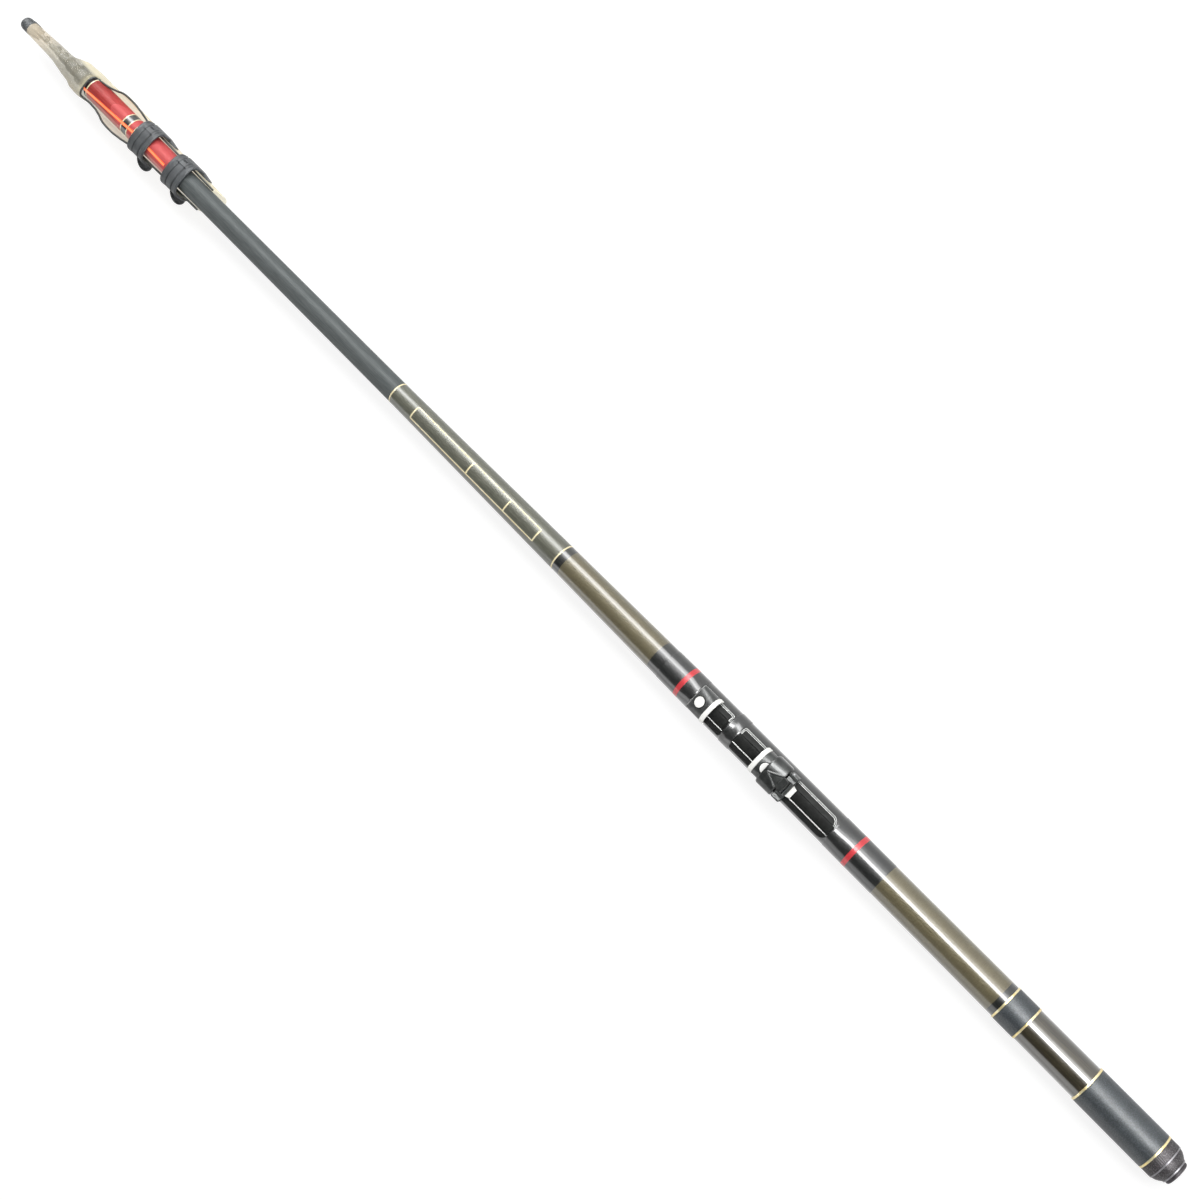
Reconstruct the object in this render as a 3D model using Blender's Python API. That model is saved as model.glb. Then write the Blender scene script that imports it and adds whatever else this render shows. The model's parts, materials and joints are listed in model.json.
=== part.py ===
"""Telescopic rock-shore rod, collapsed, with its tip cover on. Metres, +X towards the tip, +Z up."""

import math

import bmesh
import bpy
from mathutils import Vector

MM = 0.001

# Clearances.
GAP = 0.3 * MM
SLIDE_GAP = 0.3 * MM

# Tail cap, from its end face forwards.
PAD_LENGTH = 2.4 * MM
PAD_RADIUS = 8.4 * MM
CAP_TRIM = 0.8 * MM
CAP_TAPER = 5.6 * MM
CAP_TAPER_RADIUS = 9.2 * MM
CAP_GRIP = 6.2 * MM
CAP_RADIUS = 12.7 * MM
CAP_SPIGOT_RADIUS = 8.8 * MM
CAP_THREAD_TRAVEL = 9.0 * MM
CAP_KNURL_DEPTH = 0.35 * MM
SEAL_DEPTH = 1.5 * MM
SEAL_THICKNESS = 1.4 * MM
BUMPER_LENGTH = 3.0 * MM
BUMPER_RADIUS = 7.4 * MM

# Butt tube: nominal outer radii and the lengths of its zones, from the rear end forwards.
BUTT_REAR_RADIUS = 12.2 * MM
BUTT_SEAT_RADIUS = 11.6 * MM
BUTT_KNEE_RADIUS = 8.45 * MM
BUTT_MOUTH_RADIUS = 7.72 * MM
BUTT_REAR_WALL = 1.5 * MM
BUTT_MOUTH_WALL = 0.65 * MM
RECESS = 0.7 * MM
TRIM_WIDTH = 1.7 * MM
REAR_GRIP_LENGTH = 51.2 * MM
REAR_GRIP_RADIUS = 12.92 * MM
REAR_GLOSS_LENGTH = 46.6 * MM
FRONT_GRIP_LENGTH = 15.0 * MM
FRONT_GRIP_RADIUS = 12.45 * MM
THREAD_ZONE_LENGTH = 102.2 * MM
REAR_BINDING_LENGTH = 43.0 * MM
FRONT_BINDING_LENGTH = 30.0 * MM
BINDING_RISE = 0.2 * MM
KNEE_TO_BINDING = 279.0 * MM
KNEE_TO_MOUTH = 353.8 * MM
MOUTH_WRAP_LENGTH = 99.8 * MM
MOUTH_WRAP_RADIUS = 8.55 * MM
INSERT_LENGTH = 11.5 * MM
INSERT_WALL = 1.2 * MM

# Reel seat.
REAR_PLATE_LENGTH = 85.1 * MM
FRONT_PLATE_LENGTH = 28.4 * MM
SADDLE_LENGTH = 9.0 * MM
SADDLE_RISE = 0.5 * MM
PLATE_HALF_WIDTH = 8.7 * MM
PLATE_FLAT = 4.2 * MM
PLATE_THICKNESS = 0.65 * MM
PLATE_EDGE_DROP = 3.2 * MM
PLATE_REAR_CORNER = 5.5 * MM
PLATE_SADDLE_CORNER = 1.5 * MM
PLATE_RAMP_DROP = 0.3 * MM
PLATE_RAMP_SHARE = 0.5
HOOD_RIM = 3.0 * MM
HOOD_RIM_HALF_WIDTH = 9.9 * MM
HOOD_HALF_WIDTH = 9.5 * MM
HOOD_RIM_RISE = 6.7 * MM
HOOD_WALL = 1.0 * MM
HOOD_SLOPE_DROP = 4.6 * MM
FIXED_HOOD_LENGTH = 12.6 * MM
HOOD_CORNER = 3.2 * MM
SLIDE_HOOD_LENGTH = 17.6 * MM
SLIDE_HOOD_DROP = 3.4 * MM
HOOD_TO_SADDLE = 20.0 * MM
INLAY_RADIUS = 3.75 * MM
INLAY_THICKNESS = 0.4 * MM
FIXED_INLAY_OFFSET = 6.6 * MM
SLIDE_INLAY_OFFSET = 5.6 * MM
LEVER_LENGTH = 12.8 * MM
LEVER_HALF_WIDTH = 11.5 * MM
LEVER_WALL = 1.3 * MM
LEVER_LIFT = 1.1 * MM
LEVER_PIVOT_REACH = 2.8 * MM
LEVER_TONGUE = 9.0 * MM
LEVER_KNUCKLE = 1.9 * MM
PIVOT_RISE = 2.5 * MM
PIN_RADIUS = 1.0 * MM
CHEEK_HALF_WIDTH = 10.2 * MM
CHEEK_FRONT = 2.0 * MM
CHEEK_BAR = 2.4 * MM
CHEEK_HEIGHT = 3.85 * MM
TAB_LENGTH = 3.0 * MM
TAB_WIDTH = 9.0 * MM
TAB_THICKNESS = 0.7 * MM

# Inner sections: front radius, wall and how far each stands out of the next one when stowed.
FOUR_FRONT_RADIUS = 5.6 * MM
THREE_FRONT_RADIUS = 3.85 * MM
TWO_FRONT_RADIUS = 2.3 * MM
TIP_FRONT_RADIUS = 0.6 * MM
FOUR_WALL = 0.7 * MM
THREE_WALL = 0.65 * MM
TWO_WALL = 0.55 * MM
FOUR_STANDS_OUT = 15.0 * MM
THREE_STANDS_OUT = 13.0 * MM
TWO_STANDS_OUT = 11.0 * MM
TIP_STANDS_OUT = 26.0 * MM

# Line guides: ring centre below the axis, ring holder radius, plate thickness, foot length.
GUIDE_PLATE = 1.3 * MM
GUIDE_FOOT_WALL = 0.8 * MM
GUIDE_BACK = 3.6 * MM
RING_WALL = 1.0 * MM
HOLDER_WALL = 0.9 * MM
FOUR_GUIDE_DROP = 14.0 * MM
FOUR_GUIDE_RADIUS = 6.4 * MM
THREE_GUIDE_DROP = 11.4 * MM
THREE_GUIDE_RADIUS = 5.4 * MM
TWO_GUIDE_DROP = 8.8 * MM
TWO_GUIDE_RADIUS = 4.3 * MM
REAR_FLOAT_DROP = 7.4 * MM
REAR_FLOAT_RADIUS = 3.6 * MM
REAR_FLOAT_BORE = 1.5 * MM
FRONT_FLOAT_DROP = 6.4 * MM
FRONT_FLOAT_RADIUS = 3.2 * MM
FRONT_FLOAT_BORE = 1.15 * MM
FLOAT_PITCH = 8.0 * MM
FLOAT_FOOT = 4.0 * MM
TIP_GUIDE_DROP = 5.0 * MM
TIP_GUIDE_RADIUS = 2.8 * MM
TIP_GUIDE_FOOT = 5.0 * MM
WRAP_LENGTH = 3.0 * MM
WRAP_WALL = 0.4 * MM

# Tip cover, from its nose backwards.
COVER_FILM = 0.8 * MM
COVER_NOSE = 31.6 * MM
COVER_CONE = 17.5 * MM
COVER_TUBE = 23.0 * MM
COVER_NOSE_HALF = 5.1 * MM
COVER_NOSE_DEPTH = 9.0 * MM
COVER_NECK_HALF = 5.8 * MM
COVER_NECK_DEPTH = 13.0 * MM
COVER_TUBE_HALF = 8.2 * MM
COVER_TUBE_DEPTH = 19.0 * MM
COVER_MOUTH_HALF = 9.3 * MM
COVER_EDGE_RISE = 2.0 * MM
COVER_BELLY_HALF = 13.6 * MM
COVER_DEPTH = 23.5 * MM
COVER_STRAP_HALF = 10.5 * MM
COVER_WAIST = 21.0 * MM
COVER_BELLY = 20.0 * MM
COVER_TAPER = 17.0 * MM
COVER_STRAP_ZONE = 80.2 * MM
COVER_CORNER = 6.0 * MM
PIPING_RADIUS = 0.8 * MM
END_CAP_LENGTH = 10.7 * MM
END_CAP_SPIGOT = 4.0 * MM
STRAP_WIDTH = 17.6 * MM
STRAP_THICKNESS = 1.6 * MM
STRAP_PITCH = 40.4 * MM
STRAP_REAR_SETBACK = 19.5 * MM
STRAP_ROOT_SPREAD = 7.0 * MM
STRAP_LEG = 3.2 * MM
ANCHOR_LENGTH = 27.0 * MM
ANCHOR_HEIGHT = 7.0 * MM
ANCHOR_THICKNESS = 2.2 * MM
PULL_TAB_RADIUS = 8.5 * MM
PULL_TAB_REACH = 5.6 * MM
PULL_TAB_THICKNESS = 1.5 * MM

BUTT_SIDES = 32
FOUR_SIDES = 24
THREE_SIDES = 20
TWO_SIDES = 16
TIP_SIDES = 12


def clear_scene():
    for obj in list(bpy.data.objects):
        bpy.data.objects.remove(obj)


def make_material(name, color, roughness, metallic=0.0):
    material = bpy.data.materials.new(name)
    material.use_nodes = True
    shader = material.node_tree.nodes["Principled BSDF"]
    shader.inputs["Base Color"].default_value = (*color, 1.0)
    shader.inputs["Roughness"].default_value = roughness
    shader.inputs["Metallic"].default_value = metallic
    material.diffuse_color = (*color, 1.0)
    return material


def finish_mesh(name, bm, material, smooth=35.0):
    bmesh.ops.remove_doubles(bm, verts=bm.verts, dist=1e-6)
    bmesh.ops.recalc_face_normals(bm, faces=bm.faces)
    mesh = bpy.data.meshes.new(name)
    bm.to_mesh(mesh)
    bm.free()
    mesh.materials.append(material)
    mesh.shade_smooth()
    mesh.set_sharp_from_angle(angle=math.radians(smooth))
    obj = bpy.data.objects.new(name, mesh)
    bpy.context.collection.objects.link(obj)
    return obj


def turned(name, profile, sides, material, centre=(0.0, 0.0)):
    """A profile of (x, radius) points turned about an axis along X; it closes on itself or on the axis."""
    bm = bmesh.new()
    points = [bm.verts.new((x, 0.0, radius)) for x, radius in profile]
    ends_on_axis = profile[0][1] == 0.0 and profile[-1][1] == 0.0
    pairs = list(zip(points, points[1:]))
    if not ends_on_axis:
        pairs.append((points[-1], points[0]))
    edges = [bm.edges.new(pair) for pair in pairs]
    bmesh.ops.spin(
        bm,
        geom=points + edges,
        cent=(0.0, 0.0, 0.0),
        axis=(1.0, 0.0, 0.0),
        angle=math.tau,
        steps=sides,
        use_merge=True,
    )
    bmesh.ops.translate(bm, verts=bm.verts, vec=(0.0, centre[0], centre[1]))
    return finish_mesh(name, bm, material)


def sleeve(name, x_from, x_to, inner, outer, sides, material, chamfer=0.0, centre=(0.0, 0.0)):
    profile = [
        (x_from, inner),
        (x_to, inner),
        (x_to, outer - chamfer),
        (x_to - chamfer, outer),
        (x_from + chamfer, outer),
        (x_from, outer - chamfer),
    ]
    if chamfer == 0.0:
        profile = [(x_from, inner), (x_to, inner), (x_to, outer), (x_from, outer)]
    return turned(name, profile, sides, material, centre)


def lofted(name, sections, material, smooth=35.0):
    """Closed loops of 3-D points, one after another, with both ends filled."""
    bm = bmesh.new()
    loops = [[bm.verts.new(point) for point in section] for section in sections]
    for loop, following in zip(loops, loops[1:]):
        count = len(loop)
        for i in range(count):
            j = (i + 1) % count
            bm.faces.new((loop[i], loop[j], following[j], following[i]))
    bm.faces.new(loops[0])
    bm.faces.new(loops[-1])
    return finish_mesh(name, bm, material, smooth)


def extruded(name, outline, direction, material, smooth=35.0):
    """A flat outline of 3-D points, extruded along a vector."""
    bm = bmesh.new()
    face = bm.faces.new([bm.verts.new(point) for point in outline])
    result = bmesh.ops.extrude_face_region(bm, geom=[face])
    moved = [item for item in result["geom"] if isinstance(item, bmesh.types.BMVert)]
    bmesh.ops.translate(bm, verts=moved, vec=direction)
    return finish_mesh(name, bm, material, smooth)


def cylinder_along_y(name, x, z, radius, half_length, sides, material):
    outline = [
        (
            x + radius * math.cos(math.tau * i / sides),
            -half_length,
            z + radius * math.sin(math.tau * i / sides),
        )
        for i in range(sides)
    ]
    return extruded(name, outline, (0.0, 2.0 * half_length, 0.0), material)


def helper(obj):
    obj.hide_render = True
    obj.display_type = "WIRE"
    return obj


def boolean(obj, other, operation):
    modifier = obj.modifiers.new(operation.title() + " " + other.name, "BOOLEAN")
    modifier.operation = operation
    modifier.solver = "EXACT"
    modifier.object = helper(other)


def empty_at(name, location, parent):
    obj = bpy.data.objects.new(name, None)
    obj.empty_display_size = 0.01
    bpy.context.collection.objects.link(obj)
    obj.parent = parent
    origin = axis_point.get(parent.name, Vector((0.0, 0.0, 0.0)))
    obj.location = Vector(location) - origin
    axis_point[name] = Vector(location)
    return obj


def attach(parent, *objects):
    for obj in objects:
        obj.parent = parent
        obj.location = -axis_point.get(parent.name, Vector((0.0, 0.0, 0.0)))
        for modifier in obj.modifiers:
            if modifier.type == "BOOLEAN" and modifier.object.parent is None:
                attach(parent, modifier.object)


def arch(half_width, low, spring, top, power=0.8, steps=10):
    """Points (y, z) of an arch from its +Y foot over the top to its -Y foot."""
    points = [(half_width, low)]
    for i in range(steps + 1):
        angle = math.pi * i / steps
        side = math.copysign(abs(math.cos(angle)) ** power, math.cos(angle))
        if i * 2 == steps:
            side = 0.0
        rise = abs(math.sin(angle)) ** power if 0 < i < steps else 0.0
        points.append((half_width * side, spring + (top - spring) * rise))
    points.append((-half_width, low))
    return points


def arch_band(x, outer, inner):
    return [(x, y, z) for y, z in outer] + [(x, y, z) for y, z in reversed(inner)]


clear_scene()
axis_point = {}

# Materials.
carbon_gloss = make_material("carbon_gloss", (0.22, 0.21, 0.15), 0.12)
rubber_grip = make_material("rubber_grip", (0.12, 0.13, 0.14), 0.75)
gilt = make_material("gilt", (0.95, 0.85, 0.5), 0.25, 0.9)
thread_black = make_material("thread_black", (0.02, 0.02, 0.02), 0.2)
red_lacquer = make_material("red_lacquer", (0.6, 0.06, 0.05), 0.25)
seat_black = make_material("seat_black", (0.05, 0.05, 0.05), 0.35, 0.3)
silver = make_material("silver", (0.8, 0.8, 0.82), 0.2, 1.0)
cap_metal = make_material("cap_metal", (0.09, 0.07, 0.08), 0.4, 0.6)
rubber_black = make_material("rubber_black", (0.13, 0.13, 0.14), 0.7)
carbon_matt = make_material("carbon_matt", (0.05, 0.05, 0.05), 0.4)
guide_frame = make_material("guide_frame", (0.3, 0.3, 0.32), 0.25, 1.0)
guide_ring = make_material("guide_ring", (0.1, 0.1, 0.11), 0.15)
film = make_material("film", (0.72, 0.68, 0.6), 0.3)

# Stations along the rod, measured from the end of the pad.
taper_from = PAD_LENGTH + GAP + CAP_TRIM + GAP
taper_to = taper_from + CAP_TAPER
knurl_from = taper_to + GAP + CAP_TRIM + GAP
cap_front = knurl_from + CAP_GRIP
butt_rear = cap_front + GAP
ring_four_from = butt_rear
rear_grip_from = ring_four_from + TRIM_WIDTH + GAP
rear_grip_to = rear_grip_from + REAR_GRIP_LENGTH
ring_three_from = rear_grip_to + GAP
rear_recess_to = ring_three_from + TRIM_WIDTH + GAP
front_recess_from = rear_recess_to + REAR_GLOSS_LENGTH
ring_two_from = front_recess_from + GAP
front_grip_from = ring_two_from + TRIM_WIDTH + GAP
front_grip_to = front_grip_from + FRONT_GRIP_LENGTH
ring_one_from = front_grip_to + GAP
front_recess_to = ring_one_from + TRIM_WIDTH + GAP
rear_binding_from = front_recess_to + THREAD_ZONE_LENGTH
rear_binding_to = rear_binding_from + REAR_BINDING_LENGTH
rear_plate_from = rear_binding_to + GAP
rear_plate_to = rear_plate_from + REAR_PLATE_LENGTH
saddle_from = rear_plate_to + GAP
saddle_to = saddle_from + SADDLE_LENGTH
front_plate_from = saddle_to + GAP
front_plate_to = front_plate_from + FRONT_PLATE_LENGTH
front_binding_from = front_plate_to + GAP
front_binding_to = front_binding_from + FRONT_BINDING_LENGTH
knee = front_binding_to + KNEE_TO_BINDING
butt_mouth = knee + KNEE_TO_MOUTH
mouth_wrap_from = butt_mouth - MOUTH_WRAP_LENGTH


def butt_radius(x):
    """Nominal outer radius of the butt tube."""
    stations = [
        (butt_rear, BUTT_REAR_RADIUS),
        (front_plate_to, BUTT_SEAT_RADIUS),
        (knee, BUTT_KNEE_RADIUS),
        (butt_mouth, BUTT_MOUTH_RADIUS),
    ]
    for (x0, r0), (x1, r1) in zip(stations, stations[1:]):
        if x <= x1:
            return r0 + (r1 - r0) * (x - x0) / (x1 - x0)
    return BUTT_MOUTH_RADIUS


def butt_bore(x):
    share = (x - butt_rear) / (butt_mouth - butt_rear)
    return butt_radius(x) - (BUTT_REAR_WALL + (BUTT_MOUTH_WALL - BUTT_REAR_WALL) * share)


def recessed(x):
    return butt_radius(x) - RECESS


# The rod's own frame: an empty at the middle of the rod, its X along the rod.
rod_rest = bpy.data.objects.new("rod_rest", None)
rod_rest.empty_display_size = 0.02
bpy.context.collection.objects.link(rod_rest)

# Butt tube.
outer = [(butt_rear, recessed(butt_rear)), (rear_recess_to, recessed(rear_recess_to))]
outer += [(rear_recess_to, butt_radius(rear_recess_to))]
outer += [(front_recess_from, butt_radius(front_recess_from))]
outer += [(front_recess_from, recessed(front_recess_from))]
outer += [(front_recess_to, recessed(front_recess_to))]
outer += [(front_recess_to, butt_radius(front_recess_to))]
outer += [(rear_binding_from - GAP, butt_radius(rear_binding_from))]
outer += [(rear_binding_from - GAP, recessed(rear_binding_from))]
outer += [(rear_binding_to, recessed(rear_binding_to))]
outer += [(rear_binding_to, butt_radius(rear_binding_to))]
outer += [(rear_plate_to, butt_radius(rear_plate_to)), (rear_plate_to, recessed(rear_plate_to))]
outer += [(front_plate_from, recessed(front_plate_from))]
outer += [(front_plate_from, butt_radius(front_plate_from))]
outer += [(front_plate_to, butt_radius(front_plate_to)), (front_plate_to, recessed(front_plate_to))]
outer += [(front_binding_to + GAP, recessed(front_binding_to))]
outer += [(front_binding_to + GAP, butt_radius(front_binding_to))]
outer += [(knee, butt_radius(knee)), (butt_mouth, BUTT_MOUTH_RADIUS)]
bore = [(x, butt_bore(x)) for x in (butt_mouth, knee, front_plate_to, butt_rear)]
butt_blank = turned("butt_blank", outer + bore, BUTT_SIDES, carbon_gloss)


def on_butt(name, x_from, x_to, outside, material, chamfer=0.0):
    """A sleeve that lies in a recess of the butt tube."""
    inside = recessed(x_from) + GAP
    return sleeve(name, x_from, x_to, inside, outside, BUTT_SIDES, material, chamfer)


rear_grip = on_butt(
    "rear_grip", rear_grip_from, rear_grip_to, REAR_GRIP_RADIUS, rubber_grip, 0.25 * MM
)
front_grip = on_butt(
    "front_grip_band", front_grip_from, front_grip_to, FRONT_GRIP_RADIUS, rubber_grip, 0.2 * MM
)
trim_rings = [
    on_butt("trim_ring_1", ring_one_from, ring_one_from + TRIM_WIDTH, FRONT_GRIP_RADIUS, gilt),
    on_butt("trim_ring_2", ring_two_from, ring_two_from + TRIM_WIDTH, FRONT_GRIP_RADIUS, gilt),
    on_butt("trim_ring_3", ring_three_from, ring_three_from + TRIM_WIDTH, REAR_GRIP_RADIUS, gilt),
    on_butt("trim_ring_4", ring_four_from, ring_four_from + TRIM_WIDTH, REAR_GRIP_RADIUS, gilt),
]
rear_binding_outside = butt_radius(rear_binding_from) + BINDING_RISE
front_binding_outside = butt_radius(front_binding_from) + BINDING_RISE
binding_rear = on_butt(
    "binding_rear", rear_binding_from, rear_plate_from - GAP, rear_binding_outside, thread_black,
    0.2 * MM,
)
binding_middle = on_butt(
    "binding_middle", saddle_from, saddle_to, butt_radius(saddle_from) + SADDLE_RISE, thread_black,
    0.3 * MM,
)
binding_front = on_butt(
    "binding_front", front_binding_from, front_binding_to, front_binding_outside, thread_black,
    0.2 * MM,
)
mouth_wrap = sleeve(
    "mouth_wrap",
    mouth_wrap_from,
    butt_mouth,
    butt_radius(mouth_wrap_from) + GAP,
    MOUTH_WRAP_RADIUS,
    BUTT_SIDES,
    red_lacquer,
    0.2 * MM,
)
insert_outside = butt_bore(butt_rear + INSERT_LENGTH) - GAP
insert_inside = insert_outside - INSERT_WALL
butt_insert = sleeve(
    "butt_insert", butt_rear + GAP, butt_rear + INSERT_LENGTH, insert_inside, insert_outside,
    FOUR_SIDES, silver,
)
attach(rod_rest, butt_blank, rear_grip, front_grip, *trim_rings, binding_rear, binding_middle)
attach(rod_rest, binding_front, mouth_wrap, butt_insert)

# Tail cap on its sealing ring: the ring moves back as the cap turns on its thread.
cap_seal_axis = empty_at("cap_seal_axis", (butt_rear, 0.0, 0.0), rod_rest)
tail_cap_axis = empty_at("tail_cap_axis", (butt_rear, 0.0, 0.0), cap_seal_axis)
trim_groove = CAP_TAPER_RADIUS - CAP_TRIM
knurl_groove = CAP_RADIUS - CAP_TRIM
seal_outside = insert_outside
seal_groove = seal_outside + GAP
spigot_to = cap_front + CAP_THREAD_TRAVEL
cap_profile = [
    (PAD_LENGTH + GAP, 0.0),
    (PAD_LENGTH + GAP, trim_groove),
    (taper_from, trim_groove),
    (taper_from, CAP_TAPER_RADIUS),
    (taper_to, CAP_RADIUS - CAP_KNURL_DEPTH),
    (taper_to, knurl_groove),
    (knurl_from, knurl_groove),
    (knurl_from, CAP_RADIUS),
    (cap_front, CAP_RADIUS),
    (cap_front, seal_groove),
    (cap_front - SEAL_DEPTH, seal_groove),
    (cap_front - SEAL_DEPTH, CAP_SPIGOT_RADIUS),
    (spigot_to, CAP_SPIGOT_RADIUS),
    (spigot_to, 0.0),
]
tail_cap = turned("tail_cap", cap_profile, BUTT_SIDES, cap_metal)
cap_trim_rear = sleeve(
    "cap_trim_rear", PAD_LENGTH + GAP, PAD_LENGTH + GAP + CAP_TRIM, trim_groove + GAP,
    CAP_TAPER_RADIUS, BUTT_SIDES, silver,
)
cap_trim_front = sleeve(
    "cap_trim_front", taper_to + GAP, taper_to + GAP + CAP_TRIM, knurl_groove + GAP,
    CAP_RADIUS, BUTT_SIDES, silver,
)
pad_edge = PAD_LENGTH / 2.0
cap_end_pad = turned(
    "cap_end_pad",
    [
        (0.0, 0.0),
        (0.0, PAD_RADIUS - pad_edge),
        (pad_edge * 0.3, PAD_RADIUS - pad_edge * 0.3),
        (pad_edge, PAD_RADIUS),
        (PAD_LENGTH, PAD_RADIUS),
        (PAD_LENGTH, 0.0),
    ],
    BUTT_SIDES,
    rubber_black,
)
bumper_from = spigot_to + GAP
bumper_to = bumper_from + BUMPER_LENGTH
cap_bumper = turned(
    "cap_bumper",
    [(bumper_from, 0.0), (bumper_from, BUMPER_RADIUS), (bumper_to, BUMPER_RADIUS), (bumper_to, 0.0)],
    FOUR_SIDES,
    rubber_black,
)
cap_seal = sleeve(
    "cap_seal",
    cap_front - SEAL_DEPTH + GAP,
    cap_front - SEAL_DEPTH + GAP + SEAL_THICKNESS,
    CAP_SPIGOT_RADIUS + GAP,
    seal_outside,
    FOUR_SIDES,
    rubber_black,
)
attach(tail_cap_axis, tail_cap, cap_trim_rear, cap_trim_front, cap_end_pad, cap_bumper)
attach(cap_seal_axis, cap_seal)

# Reel seat plates: the front one ramps down under its hood, where a reel foot's end wedges in.
plate_top = butt_radius(rear_plate_from) + GAP + PLATE_THICKNESS
ramp_from = front_plate_to - FIXED_HOOD_LENGTH * PLATE_RAMP_SHARE


def plate_top_at(y):
    over = max(0.0, abs(y) - PLATE_FLAT)
    return plate_top - PLATE_EDGE_DROP * over / (PLATE_HALF_WIDTH - PLATE_FLAT)


def plate_section(x, half_width):
    flat = min(PLATE_FLAT, 0.9 * half_width)
    bed = plate_top - PLATE_THICKNESS
    sunk = PLATE_RAMP_DROP * max(0.0, (x - ramp_from) / (front_plate_to - ramp_from))
    top = [(x, y, plate_top_at(y) - sunk) for y in (-half_width, -flat, flat, half_width)]
    low = [
        (x, half_width * share, math.sqrt(bed**2 - (half_width * share) ** 2))
        for share in (1.0, 0.75, 0.5, 0.25, 0.0, -0.25, -0.5, -0.75, -1.0)
    ]
    return top + low


def plate_end(x, corner, forwards):
    """Sections of a plate end whose corners are rounded in plan."""
    sections = []
    for i in range(5):
        angle = math.radians(90.0) * i / 4.0
        along = corner * (1.0 - math.sin(angle))
        inwards = corner * (1.0 - math.cos(angle))
        sections.append(plate_section(x - forwards * along, PLATE_HALF_WIDTH - inwards))
    return sections


rear_plate_sections = plate_end(rear_plate_from, PLATE_REAR_CORNER, -1.0)[::-1]
rear_plate_sections += plate_end(rear_plate_to, PLATE_SADDLE_CORNER, 1.0)
front_plate_sections = plate_end(front_plate_from, PLATE_SADDLE_CORNER, -1.0)[::-1]
front_plate_sections += [plate_section(ramp_from, PLATE_HALF_WIDTH)]
front_plate_sections += plate_end(front_plate_to, PLATE_SADDLE_CORNER, 1.0)
seat_plate_rear = lofted("seat_plate_rear", rear_plate_sections, seat_black, 20.0)
seat_plate_front = lofted("seat_plate_front", front_plate_sections, seat_black, 20.0)

# Hoods: each is an arch over its plate, highest at the rim and sloping away from it.
hood_low = plate_top_at(PLATE_HALF_WIDTH) - 1.6 * MM
hood_spring = plate_top_at(PLATE_HALF_WIDTH) + 1.0 * MM
hood_rim_top = plate_top + HOOD_RIM_RISE
hood_inner_half = PLATE_HALF_WIDTH + GAP
hood_inner_spring = plate_top_at(PLATE_HALF_WIDTH) + GAP
hood_inner_low = plate_top + 1.4 * GAP


def hood_band(x, half_width, top, inner_top):
    inner = arch(hood_inner_half, hood_low, hood_inner_spring, max(inner_top, hood_inner_low))
    return arch_band(x, arch(half_width, hood_low, hood_spring, top), inner)


def rim(name, x_from, x_to):
    top = hood_rim_top
    sections = [
        hood_band(x_from, HOOD_RIM_HALF_WIDTH, top, top - HOOD_WALL),
        hood_band(x_to, HOOD_RIM_HALF_WIDTH, top, top - HOOD_WALL),
    ]
    return lofted(name, sections, silver)


def hood_top(share, drop):
    """Height of a hood's crown: share 0 at the rim, 1 at the far end."""
    return hood_rim_top - HOOD_WALL * 0.4 - drop * share


fixed_rim_from = front_plate_to - FIXED_HOOD_LENGTH - GAP - HOOD_RIM
fixed_from = fixed_rim_from + HOOD_RIM + GAP
fixed_to = front_plate_to
fixed_sections = []
for share in (0.0, 0.3, 0.55, 0.75, 0.88, 0.96, 1.0):
    x = fixed_from + (fixed_to - fixed_from) * share
    rest = max(0.0, HOOD_CORNER - (fixed_to - x))
    round_off = HOOD_CORNER - math.sqrt(HOOD_CORNER**2 - rest**2) if rest else 0.0
    half = max(HOOD_HALF_WIDTH - 0.25 * round_off, hood_inner_half + 0.3 * MM)
    crown = hood_top(share, HOOD_SLOPE_DROP) - 0.3 * round_off
    fixed_sections.append(hood_band(x, half, crown, crown - HOOD_WALL - 0.4 * MM * share))
fixed_hood = lofted("fixed_hood", fixed_sections, seat_black)
fixed_hood_rim = rim("fixed_hood_rim", fixed_rim_from, fixed_rim_from + HOOD_RIM)


def inlay(name, x, crown_at):
    """A thin round inlay that lies on a hood's sloping crown."""
    step = 1.0 * MM
    slope = (crown_at(x + step) - crown_at(x - step)) / (2.0 * step)
    along = Vector((1.0, 0.0, slope)).normalized()
    normal = Vector((-along.z, 0.0, along.x))
    centre = Vector((x, 0.0, crown_at(x))) + normal * GAP
    across = Vector((0.0, 1.0, 0.0))
    outline = [
        centre
        + along * (INLAY_RADIUS * math.cos(math.tau * i / 24))
        + across * (INLAY_RADIUS * math.sin(math.tau * i / 24))
        for i in range(24)
    ]
    return extruded(name, outline, normal * INLAY_THICKNESS, silver)


def fixed_crown(x):
    return hood_top((x - fixed_from) / (fixed_to - fixed_from), HOOD_SLOPE_DROP)


fixed_hood_inlay = inlay("fixed_hood_inlay", fixed_from + FIXED_INLAY_OFFSET, fixed_crown)
attach(rod_rest, seat_plate_rear, seat_plate_front, fixed_hood, fixed_hood_rim, fixed_hood_inlay)

# Sliding hood with its lever, cheeks, pin and tab.
slide_rim_to = saddle_from - HOOD_TO_SADDLE
slide_rim_from = slide_rim_to - HOOD_RIM
slide_to = slide_rim_from - GAP
slide_from = slide_to - SLIDE_HOOD_LENGTH
slide_hood_axis = empty_at("slide_hood_axis", (slide_rim_to, 0.0, plate_top), rod_rest)


def slide_crown(x):
    return hood_top((slide_to - x) / (slide_to - slide_from), SLIDE_HOOD_DROP)


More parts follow.
